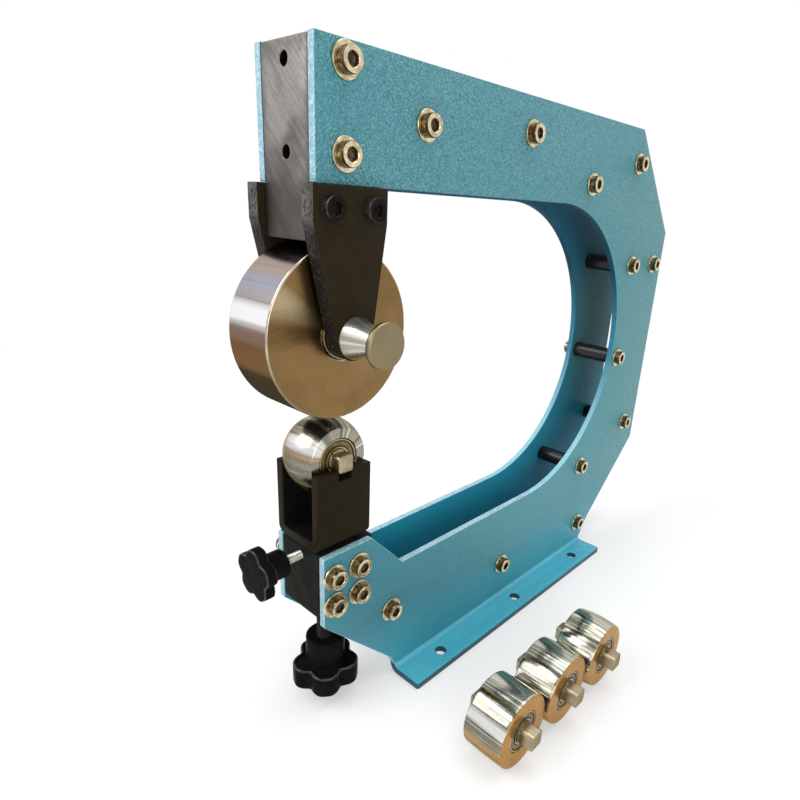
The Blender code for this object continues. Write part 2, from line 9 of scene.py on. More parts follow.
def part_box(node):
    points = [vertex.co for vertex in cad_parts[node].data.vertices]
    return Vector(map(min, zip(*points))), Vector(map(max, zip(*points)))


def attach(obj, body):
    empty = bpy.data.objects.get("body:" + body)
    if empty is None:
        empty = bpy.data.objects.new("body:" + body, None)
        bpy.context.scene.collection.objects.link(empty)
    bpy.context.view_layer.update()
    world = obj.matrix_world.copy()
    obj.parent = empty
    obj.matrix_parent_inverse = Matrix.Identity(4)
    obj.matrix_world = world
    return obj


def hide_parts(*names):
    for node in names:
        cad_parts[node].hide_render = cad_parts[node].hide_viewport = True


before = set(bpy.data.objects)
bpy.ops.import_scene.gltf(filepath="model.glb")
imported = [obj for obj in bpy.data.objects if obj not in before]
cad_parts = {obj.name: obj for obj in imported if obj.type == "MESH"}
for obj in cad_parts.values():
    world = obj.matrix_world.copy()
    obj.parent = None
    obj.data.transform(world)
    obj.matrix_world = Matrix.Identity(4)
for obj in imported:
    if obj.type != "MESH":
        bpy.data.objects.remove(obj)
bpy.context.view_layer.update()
print("frame loaded")

# The machine's own origin in the frame: mid plane across, the arm's front edge, the floor
leftPlate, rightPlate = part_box("side_plate_left"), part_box("side_plate_right")
machineOrigin = np.array([(leftPlate[0][0] + rightPlate[1][0]) / 2, rightPlate[0][1], 0.0])
mm = 0.001
bothSides = ((1, "right"), (-1, "left"))


def inFrame(points):
    # machine millimetres to frame metres
    return np.asarray(points, dtype=float) * mm + machineOrigin


def link(name, data):
    # an object for this data, shown in the scene
    item = bpy.data.objects.new(name, data)
    bpy.context.scene.collection.objects.link(item)
    return item


def gridFaces(rows, cols, wrapRows):
    # quads between neighbouring rows of a grid whose columns join round
    r, c = np.meshgrid(np.arange(rows if wrapRows else rows - 1), np.arange(cols), indexing="ij")
    r2, c2 = (r + 1) % rows, (c + 1) % cols
    return np.stack([r * cols + c, r * cols + c2, r2 * cols + c2, r2 * cols + c], axis=-1).reshape(-1, 4)


def smooth(mesh, sharpAngle):
    # smooth shading, with the edges past an angle kept sharp
    mesh.polygons.foreach_set("use_smooth", np.ones(len(mesh.polygons), dtype=bool))
    mesh.set_sharp_from_angle(angle=math.radians(sharpAngle))


def finishMesh(name, mesh, materials, sharpAngle=32):
    # merges poles and seams and turns every closed shell outwards
    work = bmesh.new()
    work.from_mesh(mesh)
    bmesh.ops.remove_doubles(work, verts=work.verts, dist=0.000002)
    bmesh.ops.dissolve_degenerate(work, edges=work.edges, dist=0.000001)
    bmesh.ops.recalc_face_normals(work, faces=work.faces)
    work.to_mesh(mesh)
    work.free()
    smooth(mesh, sharpAngle)
    for material in materials:
        mesh.materials.append(material)
    return link(name, mesh)


def buildPiece(name, sheets, materials, sharpAngle=32):
    # joins surfaces into one mesh: each is a grid, whether its rows join round, their slots and capped rows
    verts, faces, slots, offset = [], [], [], 0
    for points, close, slot, caps in sheets:
        rows, cols = points.shape[:2]
        verts.append(inFrame(points).reshape(-1, 3))
        faces.extend((gridFaces(rows, cols, close) + offset).tolist())
        rowSlot = np.broadcast_to(slot, (rows,))
        slots.extend(np.repeat(rowSlot[:rows if close else rows - 1], cols).tolist())
        for row in caps:
            faces.append((offset + row % rows * cols + np.arange(cols)).tolist())
            slots.append(int(rowSlot[row]))
        offset += rows * cols
    mesh = bpy.data.meshes.new(name)
    mesh.from_pydata(np.concatenate(verts).tolist(), [], faces)
    mesh.polygons.foreach_set("material_index", np.array(slots, dtype=np.int32))
    return finishMesh(name, mesh, materials, sharpAngle)


def dress(piece, body, slot, *nodes):
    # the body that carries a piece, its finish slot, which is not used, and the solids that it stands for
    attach(piece, body)
    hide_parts(*nodes)


def circle(centre, radius, turn):
    # centre + radius * (cos, sin) of each angle
    return np.array(centre) + radius * np.stack([np.cos(turn), np.sin(turn)], axis=1)


def roundedPath(corners, radii, steps):
    # a polyline whose corners are arcs: each corner is cut back by r*tan(turn/2) and filled with an arc
    path = []
    corners = np.array(corners, dtype=float)
    for here, before, after, radius in zip(corners, np.roll(corners, 1, 0), np.roll(corners, -1, 0), radii):
        inward, outward = before - here, after - here
        inward, outward = inward / np.linalg.norm(inward), outward / np.linalg.norm(outward)
        half = math.acos(float(np.clip(inward @ outward, -1, 1))) / 2
        if radius <= 0 or half > math.radians(89):
            path.append([here])
            continue
        middle = inward + outward
        centre = here + middle / np.linalg.norm(middle) * radius / math.sin(half)
        first = here + inward * radius / math.tan(half) - centre
        last = here + outward * radius / math.tan(half) - centre
        a, b = math.atan2(first[1], first[0]), math.atan2(last[1], last[0])
        b = a + (b - a + math.pi) % (2 * math.pi) - math.pi
        path.append(circle(centre, radius, np.linspace(a, b, steps + 1)))
    return np.concatenate(path)


def cutSheet(loops, thickness, edge):
    # a flat pattern with holes, filled both sides and rounded along its edges, in millimetres
    curve = bpy.data.curves.new("pattern", "CURVE")
    curve.dimensions = "2D"
    curve.fill_mode = "BOTH"
    curve.extrude = thickness / 2 - edge
    curve.bevel_depth = edge
    curve.bevel_resolution = 2
    curve.offset = -edge
    for loop in loops:
        spline = curve.splines.new("POLY")
        spline.points.add(len(loop) - 1)
        spline.points.foreach_set("co", np.insert(loop, [2, 2], [0, 1], axis=1).ravel())
        spline.use_cyclic_u = True
    flat = link("pattern", curve)
    graph = bpy.context.evaluated_depsgraph_get()
    mesh = bpy.data.meshes.new_from_object(flat.evaluated_get(graph))
    bpy.data.objects.remove(flat)
    bpy.data.curves.remove(curve)
    mesh.materials.clear()
    return mesh


def values(items, name):
    # the centres or normals of faces, or the places of vertices
    flat = np.empty(3 * len(items))
    items.foreach_get(name, flat)
    return flat.reshape(-1, 3)


def place(mesh, points, slots=None):
    # moves the vertices to machine millimetres and sets the faces' material slots
    mesh.vertices.foreach_set("co", inFrame(points).ravel())
    mesh.update()
    if slots is not None:
        mesh.polygons.foreach_set("material_index", slots.astype(np.int32))


def subtract(piece, sheets):
    # takes closed surfaces away from a piece and keeps only the result
    cutters = [buildPiece("cutter", [sheet], piece.data.materials[:1]) for sheet in sheets]
    for cutter in cutters:
        cut = piece.modifiers.new("cut", "BOOLEAN")
        cut.operation = "DIFFERENCE"
        cut.solver = "EXACT"
        cut.object = cutter
    graph = bpy.context.evaluated_depsgraph_get()
    mesh = bpy.data.meshes.new_from_object(piece.evaluated_get(graph))
    piece.modifiers.clear()
    old, piece.data = piece.data, mesh
    bpy.data.meshes.remove(old)
    for cutter in cutters:
        bpy.data.objects.remove(cutter)
    smooth(mesh, 32)


def markFaces(piece, test, slot):
    # another material slot for the faces whose centres, in machine millimetres, pass a test
    faces = piece.data.polygons
    slots = np.empty(len(faces), dtype=np.int32)
    faces.foreach_get("material_index", slots)
    slots[test((values(faces, "center") - machineOrigin) / mm)] = slot
    faces.foreach_set("material_index", slots)


def block(low, high, radius, steps=3):
    # a rounded box: each corner is an eighth of a ball, and the flats lie between
    low, high = np.array(low, dtype=float), np.array(high, dtype=float)
    around = np.concatenate([np.linspace(q * np.pi / 2, (q + 1) * np.pi / 2, steps + 1) for q in range(4)])
    side = np.repeat(np.array([[1, 1], [-1, 1], [-1, -1], [1, -1]]), steps + 1, axis=0)
    rise = np.concatenate([np.linspace(-np.pi / 2, 0, steps + 1), np.linspace(0, np.pi / 2, steps + 1)])
    rise = rise[:, None]
    top = np.repeat([-1, 1], steps + 1)[:, None]
    ball = np.stack(np.broadcast_arrays(np.cos(rise) * np.cos(around), np.cos(rise) * np.sin(around),
                                        np.sin(rise)), axis=-1)
    corner = np.stack(np.broadcast_arrays(side[:, 0], side[:, 1], top), axis=-1)
    return (low + high) / 2 + corner * ((high - low) / 2 - radius) + ball * radius, False, 0, (0, -1)


axisTurns = {
    # (across, other, along) to x, y, z for a shape turned round each axis
    "x": lambda a, b, c: (c, a, b),
    "z": lambda a, b, c: (a, b, c),
    "-y": lambda a, b, c: (a, -c, b),
}


def lathe(profile, axis, origin, segments=96, slot=0, radiusOf=None, close=False, caps=()):
    # a profile of (radius, along) carried round the axis; radiusOf may change the radius with the angle
    profile = np.array(profile, dtype=float)
    turn = np.linspace(0, 2 * np.pi, segments, endpoint=False)
    radius, along = profile[:, :1] + 0 * turn, profile[:, 1:] + 0 * turn
    if radiusOf is not None:
        radius = radiusOf(radius, along, turn)
    points = np.stack(axisTurns[axis](radius * np.cos(turn), radius * np.sin(turn), along), axis=-1)
    return points + np.array(origin), close, slot, caps


def softProfile(corners, radii, steps=4):
    # an open profile of (radius, along) with its inner corners rounded; its first and last points stay
    corners = np.array(corners, dtype=float)
    out = [corners[:1]]
    for i in range(1, len(corners) - 1):
        here, radius = corners[i], radii[i] if hasattr(radii, "__len__") else radii
        inward, outward = corners[i - 1] - here, corners[i + 1] - here
        a, b = np.linalg.norm(inward), np.linalg.norm(outward)
        reach = min(radius, 0.45 * a, 0.45 * b)
        if reach <= 0:
            out.append([here])
            continue
        start, end = here + inward / a * reach, here + outward / b * reach
        t = np.linspace(0, 1, steps + 1)[:, None]
        out.append((1 - t) ** 2 * start + 2 * t * (1 - t) * here + t ** 2 * end)
    return np.concatenate([*out, corners[-1:]])


def even(size):
    # scales as they are, or the scale whose features are about one size in millimetres across
    return size if isinstance(size, tuple) else (1 / (size * mm),) * 3


def fill(tree, node, inputs):
    # sets a node's inputs, or links them where the value is another node's output
    for socket, value in dict(inputs).items():
        if isinstance(value, bpy.types.NodeSocket):
            tree.links.new(value, node.inputs[socket])
        else:
            node.inputs[socket].default_value = value


def addNode(tree, kind, inputs=(), **settings):
    # a shader node with its settings made and its inputs filled in
    node = tree.nodes.new("ShaderNode" + kind)
    for setting, value in settings.items():
        setattr(node, setting, value)
    fill(tree, node, inputs)
    return node


def number(tree, operation, *given, clamp=False):
    # one sum on numbers in the node tree
    return addNode(tree, "Math", enumerate(given), operation=operation, use_clamp=clamp).outputs[0]


def vector(tree, operation, *given):
    # one sum on vectors, whose result is a number for a product or a length
    node = addNode(tree, "VectorMath", enumerate(given), operation=operation)
    return node.outputs["Value" if operation in ("DOT_PRODUCT", "LENGTH") else "Vector"]


def pattern(tree, kind, scale=1, detail=3, centre=None, distortion=0, span=(0.35, 0.65), lean=0, toward=None,
            fade=None):
    # a factor from 0 to 1 over a span of one measure of the surface's place, times a second pattern's factor
    spot = tuple(inFrame(centre)) if centre is not None else (0, 0, 0)
    scale, source = even(scale), addNode(tree, "TexCoord").outputs["Object"]
    if lean:
        # lean turns the pattern in the front view before it is stretched
        turned = {"Angle": math.radians(lean), "Vector": source}
        source = addNode(tree, "VectorRotate", turned, rotation_type="Y_AXIS").outputs[0]
    if kind in ("slope", "around", "spokes"):
        arm = vector(tree, "SUBTRACT", source, spot)
        out = vector(tree, "NORMALIZE", vector(tree, "MULTIPLY", arm, (0, 1, 1)))
    if kind in ("slope", "around"):
        # the distance along a direction, or the cosine between it and the way out from the turning axis
        direction = tuple(Vector(toward).normalized())
        result = vector(tree, "DOT_PRODUCT", arm if kind == "slope" else out, direction)
        span = np.array(span) * (mm if kind == "slope" else 1)
    else:
        if kind == "spokes":
            # noise over the way out from the turning axis, so its streaks run along the axis
            where = out, (scale[1],) * 3, vector(tree, "MULTIPLY", arm, (scale[0], 0, 0))
        else:
            where = source, scale, tuple(-np.array(spot) * scale)
        texture = addNode(tree, {"cells": "TexVoronoi", "rings": "TexWave"}.get(kind, "TexNoise"),
                          {"Scale": 1, "Vector": vector(tree, "MULTIPLY_ADD", *where)})
        if kind == "rings":
            texture.wave_type, texture.rings_direction = "RINGS", "X"
            texture.inputs["Detail Scale"].default_value = 0.4
        if kind != "cells":
            fill(tree, texture, {"Distortion": distortion, "Detail": detail})
        result = texture.outputs["Distance" if kind == "cells" else "Fac"]
    spread = addNode(tree, "MapRange", {"From Min": span[0], "From Max": span[1], "Value": result})
    fac = spread.outputs["Result"]
    return fac if fade is None else number(tree, "MULTIPLY", fac, pattern(tree, **fade))


def nodeFinish(name, colour, metallic, roughness, layers, bumps, coat=0, specular=0.5, ior=1.5,
               edgeTint=(1, 1, 1)):
    # colour, roughness and metal shifted by each layer's pattern, then each bump's pattern raised in turn
    material = bpy.data.materials.new(name)
    material.use_nodes = True
    tree = material.node_tree
    inputs = {"Base Color": (*colour, 1), "Metallic": metallic, "Roughness": roughness, "IOR": ior,
              "Specular IOR Level": specular, "Specular Tint": (*edgeTint, 1), "Coat Weight": coat,
              "Coat Roughness": 0.12}
    for layer in layers:
        layer = dict(layer)
        tint, amount = layer.pop("colour"), layer.pop("amount")
        rougher, dull = layer.pop("rougher", 0), layer.pop("dull", 0)
        fac = pattern(tree, **layer)
        mixed = {"Factor": number(tree, "MULTIPLY", fac, amount), "A": inputs["Base Color"], "B": (*tint, 1)}
        inputs["Base Color"] = addNode(tree, "Mix", mixed, data_type="RGBA").outputs["Result"]
        if rougher:
            inputs["Roughness"] = number(tree, "MULTIPLY_ADD", fac, rougher, inputs["Roughness"])
        if dull:
            inputs["Metallic"] = number(tree, "MULTIPLY_ADD", fac, -dull, inputs["Metallic"], clamp=True)
    for layer in bumps:
        layer = dict(layer)
        bump = {"Distance": layer.pop("height") * mm, "Strength": layer.pop("strength")}
        if "Normal" in inputs:
            bump["Normal"] = inputs["Normal"]
        bump["Height"] = pattern(tree, **layer)
        inputs["Normal"] = addNode(tree, "Bump", bump).outputs[0]
    fill(tree, tree.nodes["Principled BSDF"], inputs)
    return material


def grain(size, detail, colour, amount, span=(0.35, 0.65), **more):
    # a layer of noise: size, fineness, colour, amount, and the part of its range that is spread out
    return dict(kind="grain", scale=size, detail=detail, span=span, colour=colour, amount=amount, **more)


def slope(toward, span, colour, amount, centre=(0, 0, 0), **more):
    # a change along a direction, between two distances in millimetres from the centre
    return dict(kind="slope", toward=toward, span=span, centre=centre, colour=colour, amount=amount, **more)


def dents(size, height, strength, detail=2, **more):
    # a bump of noise, its height in millimetres
    return dict(kind="grain", scale=size, detail=detail, height=height, strength=strength, **more)


def spokes(centre, scale, detail, span, colour, amount, **more):
    # streaks that run with the turning axis
    return dict(kind="spokes", centre=centre, scale=scale, detail=detail, span=span, colour=colour,
                amount=amount, **more)


def arcBand(centre, angle, inner, outer, colour, amount, **more):
    # full strength within the inner angle of a direction seen from the side, none past the outer angle
    reach, near, far = np.radians([angle, inner, outer]).tolist()
    return dict(kind="around", centre=centre, toward=(0, -math.cos(reach), math.sin(reach)),
                span=(math.cos(far), math.cos(near)), colour=colour, amount=amount, **more)


wheelCentre = (0, 22.5, 267.9)
anvilCentre = (0, 22.5, 188.2)
towardsTop = dict(kind="slope", toward=(0, 0, 1), span=(60, 320))
hammerBlue = nodeFinish("hammer_blue_coat", (0.06, 0.258, 0.3), 0, 0.44, [
    dict(kind="cells", scale=2, span=(0.15, 0.75), colour=(0.11, 0.35, 0.385), amount=0.4,
         rougher=-0.08),
    grain(1.5, 3, (0.022, 0.155, 0.195), 0.6, (0.44, 0.6), fade=towardsTop),
    grain(1.15, 2, (0.28, 0.5, 0.52), 0.65, (0.54, 0.62), fade=towardsTop),
    slope((0, -1, -0.8), (-165, -55), (0.03, 0.175, 0.24), 0.75, (0, 60, 0)),
    grain(90, 2, (0.07, 0.28, 0.345), 0.45, rougher=0.06),
    slope((0, 1, 0), (-160, 100), (0.074, 0.275, 0.295), 0.7, (0, 340, 0)),
    # painted light: lighter blue towards the bottom and on the foot's flange, which faces up, and a painted
    # highlight along the inside of the bend
    slope((0, 0, -1), (-62, -12), (0.056, 0.37, 0.48), 0.8),
    slope((0, 0, -1), (-9.2, -7.6), (0.24, 0.62, 0.74), 0.7),
    slope((0, 0, -1), (-6.8, -5.3), (0.07, 0.47, 0.62), 0.95),
], [
    dict(kind="cells", scale=1.9, span=(0, 0.8), height=0.9, strength=1, fade=towardsTop),
    dents(1.3, 0.35, 0.9),
], coat=0.05, specular=0.35)
# painted shade: a darker copy of the blue for the faces towards the other plate, greyer towards the back, and
# painted light makes it a lighter blue towards the bottom
innerShadeBlue = nodeFinish("hammer_blue_inside_painted_shade", (0.026, 0.125, 0.19), 0, 0.42, [
    grain(1.6, 3, (0.014, 0.08, 0.125), 0.6, (0.44, 0.62)),
    slope((0, 1, 0), (60, 150), (0.052, 0.155, 0.165), 0.85, (0, 235, 0),
         fade=dict(kind="slope", toward=(0, 0, -1), span=(-325, -265))),
    slope((0, 0, -1), (-215, -100), (0.024, 0.3, 0.42), 0.85),
], [dict(kind="cells", scale=2, span=(0, 0.8), height=0.3, strength=0.7)], specular=0.2, ior=1.2)
# painted light: a lighter copy of the blue for the cut edges that face forwards and up, with light specks
litEdgeBlue = nodeFinish("edge_blue_painted_light", (0.27, 0.5, 0.59), 0, 0.45, [
    grain(1.3, 3, (0.66, 0.8, 0.84), 0.8, (0.45, 0.62), rougher=0.1),
    grain(4, 3, (0.15, 0.37, 0.47), 0.55),
], [dents(0.9, 0.3, 0.8, 3)], coat=0.15)
# the throat's edge passes from a dark upper arc through mid blue to a light lower arc, painted shade where
# the arc faces down and painted light where it faces up
throatBlue = nodeFinish("edge_blue_throat", (0.035, 0.2, 0.31), 0, 0.45, [
    grain(1.3, 3, (0.075, 0.29, 0.4), 0.6, (0.45, 0.62), rougher=0.1),
    slope((0, 0, -1), (12, 95), (0.33, 0.62, 0.72), 0.9, (0, 0, 222.5)),
    slope((0, 0, 1), (0, 70), (0.01, 0.052, 0.078), 0.95, (0, 0, 222.5)),
], [dents(0.9, 0.3, 0.8, 3)], specular=0.2, ior=1.2)
edgeShade = nodeFinish("edge_blue_shaded", (0.018, 0.085, 0.125), 0, 0.45, [
    grain(1.3, 3, (0.05, 0.17, 0.23), 0.5, (0.5, 0.68), rougher=0.1),
], [dents(0.9, 0.2, 0.6, 3)], specular=0.3)
milledSteel = nodeFinish("milled_block_steel", (0.145, 0.135, 0.13), 0.6, 0.4, [
    grain(42, 2, (0.34, 0.32, 0.305), 0.85, (0.42, 0.6), rougher=-0.06),
    grain((700, 60, 45), 4, (0.07, 0.065, 0.06), 0.45, distortion=0.5, lean=42, rougher=0.1),
    grain((260, 60, 30), 4, (0.38, 0.36, 0.345), 0.25, (0.45, 0.7), lean=42),
    grain(17, 3, (0.05, 0.047, 0.045), 0.6, (0.5, 0.72)),
    grain(2.2, 4, (0.07, 0.065, 0.06), 0.3, (0.5, 0.7)),
    slope((0.1, 0, -1), (48, 75), (0.03, 0.026, 0.023), 0.72, (0, 0, 413), rougher=0.05),
    # painted shade: darker strips along the block's sides, beside the plates
    slope((-1, 0, 0), (14, 20), (0.045, 0.042, 0.04), 0.6),
    slope((1, 0, 0), (16.5, 20), (0.045, 0.042, 0.04), 0.5),
], [dents((1300, 90, 60), 0.07, 0.7, 4, lean=42)])
boreDark = nodeFinish("shaded_inner_steel", (0.0035, 0.0035, 0.004), 0, 0.5, [
    grain(1.2, 3, (0.012, 0.011, 0.01), 0.5, rougher=0.15),
    grain(9, 3, (0.007, 0.0065, 0.006), 0.6),
], [dents(0.8, 0.05, 0.5, 3)], specular=0.3, ior=1.12)
darkBlock = nodeFinish("dark_block_steel_low", (0.01, 0.011, 0.0085), 0, 0.4, [
    grain(11, 4, (0.018, 0.018, 0.015), 0.7, rougher=0.1),
    grain((420, 420, 60), 3, (0.026, 0.026, 0.022), 0.45, lean=35, rougher=-0.08),
], [dents(0.9, 0.06, 0.6, 3)], specular=0.4, ior=1.07)


def oxideFinish(name, colour, patches, specks, share):
    # a dull black with wide soft patches and small bright specks
    return nodeFinish(name, colour, 0, 0.5, [
        grain(14, 4, patches, 0.8, rougher=0.08),
        grain(1.1, 3, specks, share, rougher=-0.08),
    ], [dents(0.8, 0.06, 0.5, 3)], specular=0.4, ior=1.15)


blackOxide = oxideFinish("black_oxide_finish", (0.016, 0.0115, 0.005), (0.023, 0.0165, 0.0075),
                         (0.034, 0.026, 0.014), 0.35)
holderOxide = oxideFinish("black_oxide_holder", (0.012, 0.0085, 0.0036), (0.0175, 0.0125, 0.0055),
                          (0.027, 0.021, 0.011), 0.3)
flameCut = nodeFinish("flame_cut_edge", (0.012, 0.01, 0.008), 0.1, 0.46, [
    dict(kind="cells", scale=(520, 520, 380), span=(0.1, 0.55), colour=(0.24, 0.225, 0.205), amount=0.5,
         rougher=-0.1, fade=dict(kind="slope", toward=(0, 0, 1), span=(-6, 4), centre=(0, 0, 328))),
    grain(2.2, 4, (0.1, 0.09, 0.08), 0.35, (0.54, 0.68)),
    grain(9, 3, (0.009, 0.008, 0.007), 0.5),
], [dict(kind="cells", scale=(520, 520, 380), span=(0, 0.7), height=0.6, strength=1)], specular=0.3,
    ior=1.3)
glossOxide = nodeFinish("oiled_black_screws", (0.006, 0.0052, 0.0044), 0, 0.18, [
    grain(5, 4, (0.014, 0.012, 0.009), 0.7, rougher=0.12),
], [dents(0.9, 0.02, 0.4)], specular=0.5, ior=1.13)
# painted highlight: a lighter, half metal copy of the black for the fork screws' head sides
glossEdgeHighlight = nodeFinish("oiled_black_edges_painted_highlight", (0.085, 0.078, 0.066), 0.5, 0.18, [
    grain(4, 3, (0.01, 0.009, 0.008), 0.9, (0.42, 0.6), rougher=0.12),
], [dents(0.9, 0.02, 0.4)])
zinc = nodeFinish("warm_zinc_plate", (0.72, 0.62, 0.385), 1, 0.18, [
    grain(5, 2, (0.33, 0.25, 0.12), 0.6, (0.42, 0.6), rougher=0.08),
    grain(2.4, 2, (0.95, 0.92, 0.82), 0.4, (0.52, 0.64)),
], [dents(0.8, 0.04, 0.5)])
# painted shade: a darker copy of the zinc for the screw heads' sides
zincSideShade = nodeFinish("warm_zinc_side_painted_shade", (0.16, 0.118, 0.062), 1, 0.22, [
    grain(3, 2, (0.05, 0.034, 0.019), 0.8, (0.45, 0.6), rougher=0.1),
    grain(2, 2, (0.6, 0.52, 0.36), 0.5, (0.55, 0.66)),
], [dents(0.6, 0.05, 0.6, 3)])
zincSocket = nodeFinish("shadowed_zinc_socket", (0.12, 0.078, 0.034), 0.6, 0.34, [
    grain(2, 3, (0.026, 0.016, 0.01), 0.8, (0.44, 0.58), rougher=0.1),
], [dents(0.6, 0.04, 0.5)])
# painted reflections: bands by angle round the axle, a white highlight band, warm, bluish and dark bands and
# a dark, less metallic lower front; the streaks along the axis are grinding marks and painted reflection
# streaks
rimSteel = nodeFinish("ground_rim_steel", (0.45, 0.43, 0.42), 1, 0.15, [
    spokes(wheelCentre, (20, 9), 3, (0.35, 0.65), (0.32, 0.3, 0.28), 0.35),
    grain((2600, 16, 16), 5, (0.28, 0.26, 0.245), 0.25, rougher=0.08),
    arcBand(wheelCentre, 50, 6, 16, (0.5, 0.38, 0.33), 0.6),
    arcBand(wheelCentre, 36, 3, 8, (0.37, 0.4, 0.53), 0.6),
    arcBand(wheelCentre, 15.5, 3.5, 9, (0.97, 0.97, 0.98), 1, rougher=-0.03),
    arcBand(wheelCentre, -11, 15, 18.5, (0.17, 0.085, 0.03), 0.94),
    arcBand(wheelCentre, 3, 2.5, 7, (0.25, 0.18, 0.15), 0.7),
    arcBand(wheelCentre, -52, 28, 33, (0.04, 0.029, 0.014), 0.985, dull=0.985, rougher=0.1),
    arcBand(wheelCentre, 72, 13, 19, (0.085, 0.085, 0.082), 0.8),
    spokes(wheelCentre, (5, 16), 2, (0.6, 0.66), (0.1, 0.075, 0.04), 0.25),
], [dents((3200, 30, 30), 0.012, 0.5, 3)], specular=0, edgeTint=(0.56, 0.51, 0.46))
# painted reflection: the bronze is the warm surroundings seen in the steel, with a painted highlight wedge
# towards the front and top, painted shade near the fork and a lighter bronze towards the back and below; the
# rings are turning marks
faceSteel = nodeFinish("turned_face_steel", (0.228, 0.134, 0.05), 1, 0.24, [
    dict(kind="rings", scale=1.4, span=(0, 1), centre=wheelCentre, distortion=2.5, detail=3,
         colour=(0.3, 0.19, 0.085), amount=0.25, rougher=0.06),
    arcBand(wheelCentre, 26, 3, 14, (0.62, 0.52, 0.33), 0.7),
    arcBand(wheelCentre, 6, 3, 13, (0.11, 0.062, 0.021), 0.6),
    arcBand(wheelCentre, 75, 6, 22, (0.13, 0.075, 0.028), 0.6),
    arcBand(wheelCentre, 215, 8, 40, (0.3, 0.19, 0.085), 0.5),
    grain(34, 2, (0.16, 0.088, 0.03), 0.5, (0.45, 0.62), rougher=0.05),
    grain(0.9, 2, (0.33, 0.22, 0.11), 0.25),
], [dict(kind="rings", scale=0.45, span=(0, 1), centre=wheelCentre, distortion=0.6, height=0.01,
    strength=0.35)])
brightEdge = nodeFinish("polished_edge_steel", (0.6, 0.55, 0.45), 1, 0.13, [
    grain(6, 3, (0.3, 0.25, 0.17), 0.7, rougher=0.1),
    # painted reflection: the edge is darker towards the lower front
    arcBand(wheelCentre, -50, 26, 45, (0.2, 0.15, 0.085), 0.8),
], [dents(0.8, 0.008, 0.4)])
# painted reflection: bright and dark streaks along the axis
satinPin = nodeFinish("satin_turned_pin", (0.42, 0.405, 0.33), 1, 0.27, [
    spokes(wheelCentre, (10, 2.2), 1.5, (0.44, 0.62), (0.88, 0.89, 0.83), 0.85),
    spokes(wheelCentre, (8, 3.5), 1.5, (0.5, 0.66), (0.19, 0.185, 0.14), 0.6, rougher=0.05),
], [dents((2400, 120, 120), 0.012, 0.5)])
satinDisc = nodeFinish("satin_pin_disc", (0.228, 0.182, 0.102), 1, 0.34, [
    dict(kind="rings", scale=0.9, span=(0, 1), centre=wheelCentre, distortion=1.2,
         colour=(0.3, 0.25, 0.155), amount=0.4, rougher=0.05),
    grain(9, 3, (0.27, 0.225, 0.14), 0.5),
], [dents(0.7, 0.012, 0.5)])


def chromeFinish(name, centre, colour, streaks, seed, sides, bands, roughness, more=()):
    # painted reflections, streaks that run with the axis: bright, dark and warm bands by angle, a little
    # changed along the length
    return nodeFinish(name, colour, 1, roughness, [
        spokes(centre, (25 + seed, sides * 0.7), 1, (0.46, 0.62), (0.4, 0.335, 0.215), streaks * 0.7),
        spokes(centre, (14 + seed / 3, sides * 1.6), 1.5, (0.5, 0.6), (0.92, 0.91, 0.83), streaks * 0.9),
        spokes(centre, (18 + seed / 3, sides * 2.2), 2, (0.52, 0.61), (0.075, 0.072, 0.046), streaks),
        *[arcBand(centre, *band) for band in bands], *more,
        grain(2, 2, (0.55, 0.5, 0.42), 0.1, rougher=0.05),
    ], [dict(kind="spokes", scale=(60, 14), centre=centre, detail=2, height=0.04, strength=0.3)],
        edgeTint=(0.6, 0.56, 0.46))


# painted reflections on the mounted anvil: dark, warm and bright bands by angle, a dark lower part, a warm
# brown left face and a dark lower front
chrome = chromeFinish("anvil_mirror_chrome", anvilCentre, (0.31, 0.3, 0.24), 0.75, 0, 2.6, [
    (2, 6, 14, (0.13, 0.115, 0.085), 0.75), (14, 3, 7, (0.34, 0.19, 0.12), 0.6),
    (31, 5, 12, (0.85, 0.85, 0.84), 0.7), (-58, 34, 56, (0.05, 0.056, 0.03), 0.93),
    (60, 4, 12, (0.1, 0.105, 0.1), 0.6)], 0.2, [
    slope((-1, 0, -0.1), (7, 12), (0.34, 0.13, 0.07), 0.85, anvilCentre, dull=0.5),
    slope((-0.5, -0.2, -0.8), (14, 20), (0.055, 0.065, 0.035), 0.9, anvilCentre, dull=0.85)])
# painted reflection: the warm gold of the surroundings seen in the spares' side faces
warmReflectionSide = nodeFinish("side_steel_painted_warm_reflection", (0.42, 0.21, 0.062), 1, 0.22, [
    grain(11, 3, (0.56, 0.33, 0.125), 0.6, rougher=0.06),
    grain(1.3, 3, (0.27, 0.14, 0.05), 0.4),
], [dents(0.8, 0.015, 0.4)], edgeTint=(0.95, 0.85, 0.7))
ringSteel = nodeFinish("bearing_ring_steel", (0.33, 0.255, 0.12), 1, 0.22, [
    grain(5, 3, (0.58, 0.5, 0.34), 0.6, rougher=0.08),
    grain(0.9, 2, (0.22, 0.165, 0.08), 0.4),
], [dents(0.6, 0.012, 0.4)])
shieldOlive = nodeFinish("bearing_shield_olive", (0.14, 0.105, 0.045), 1, 0.3, [
    grain(4, 3, (0.27, 0.21, 0.105), 0.6, rougher=0.1),
], [dents(0.7, 0.02, 0.5)])
grooveDark = nodeFinish("bearing_groove_dark", (0.03, 0.024, 0.015), 0.5, 0.42, [
    grain(3, 3, (0.07, 0.055, 0.034), 0.6, rougher=0.1),
], [dents(0.7, 0.02, 0.5)])
axleSteel = nodeFinish("squared_axle_steel", (0.36, 0.305, 0.19), 1, 0.26, [
    grain(7, 3, (0.22, 0.17, 0.09), 0.7, rougher=0.08),
    grain((160, 1500, 1500), 3, (0.55, 0.5, 0.38), 0.45),
], [dents((300, 1700, 1700), 0.015, 0.5)], edgeTint=(0.6, 0.54, 0.42))
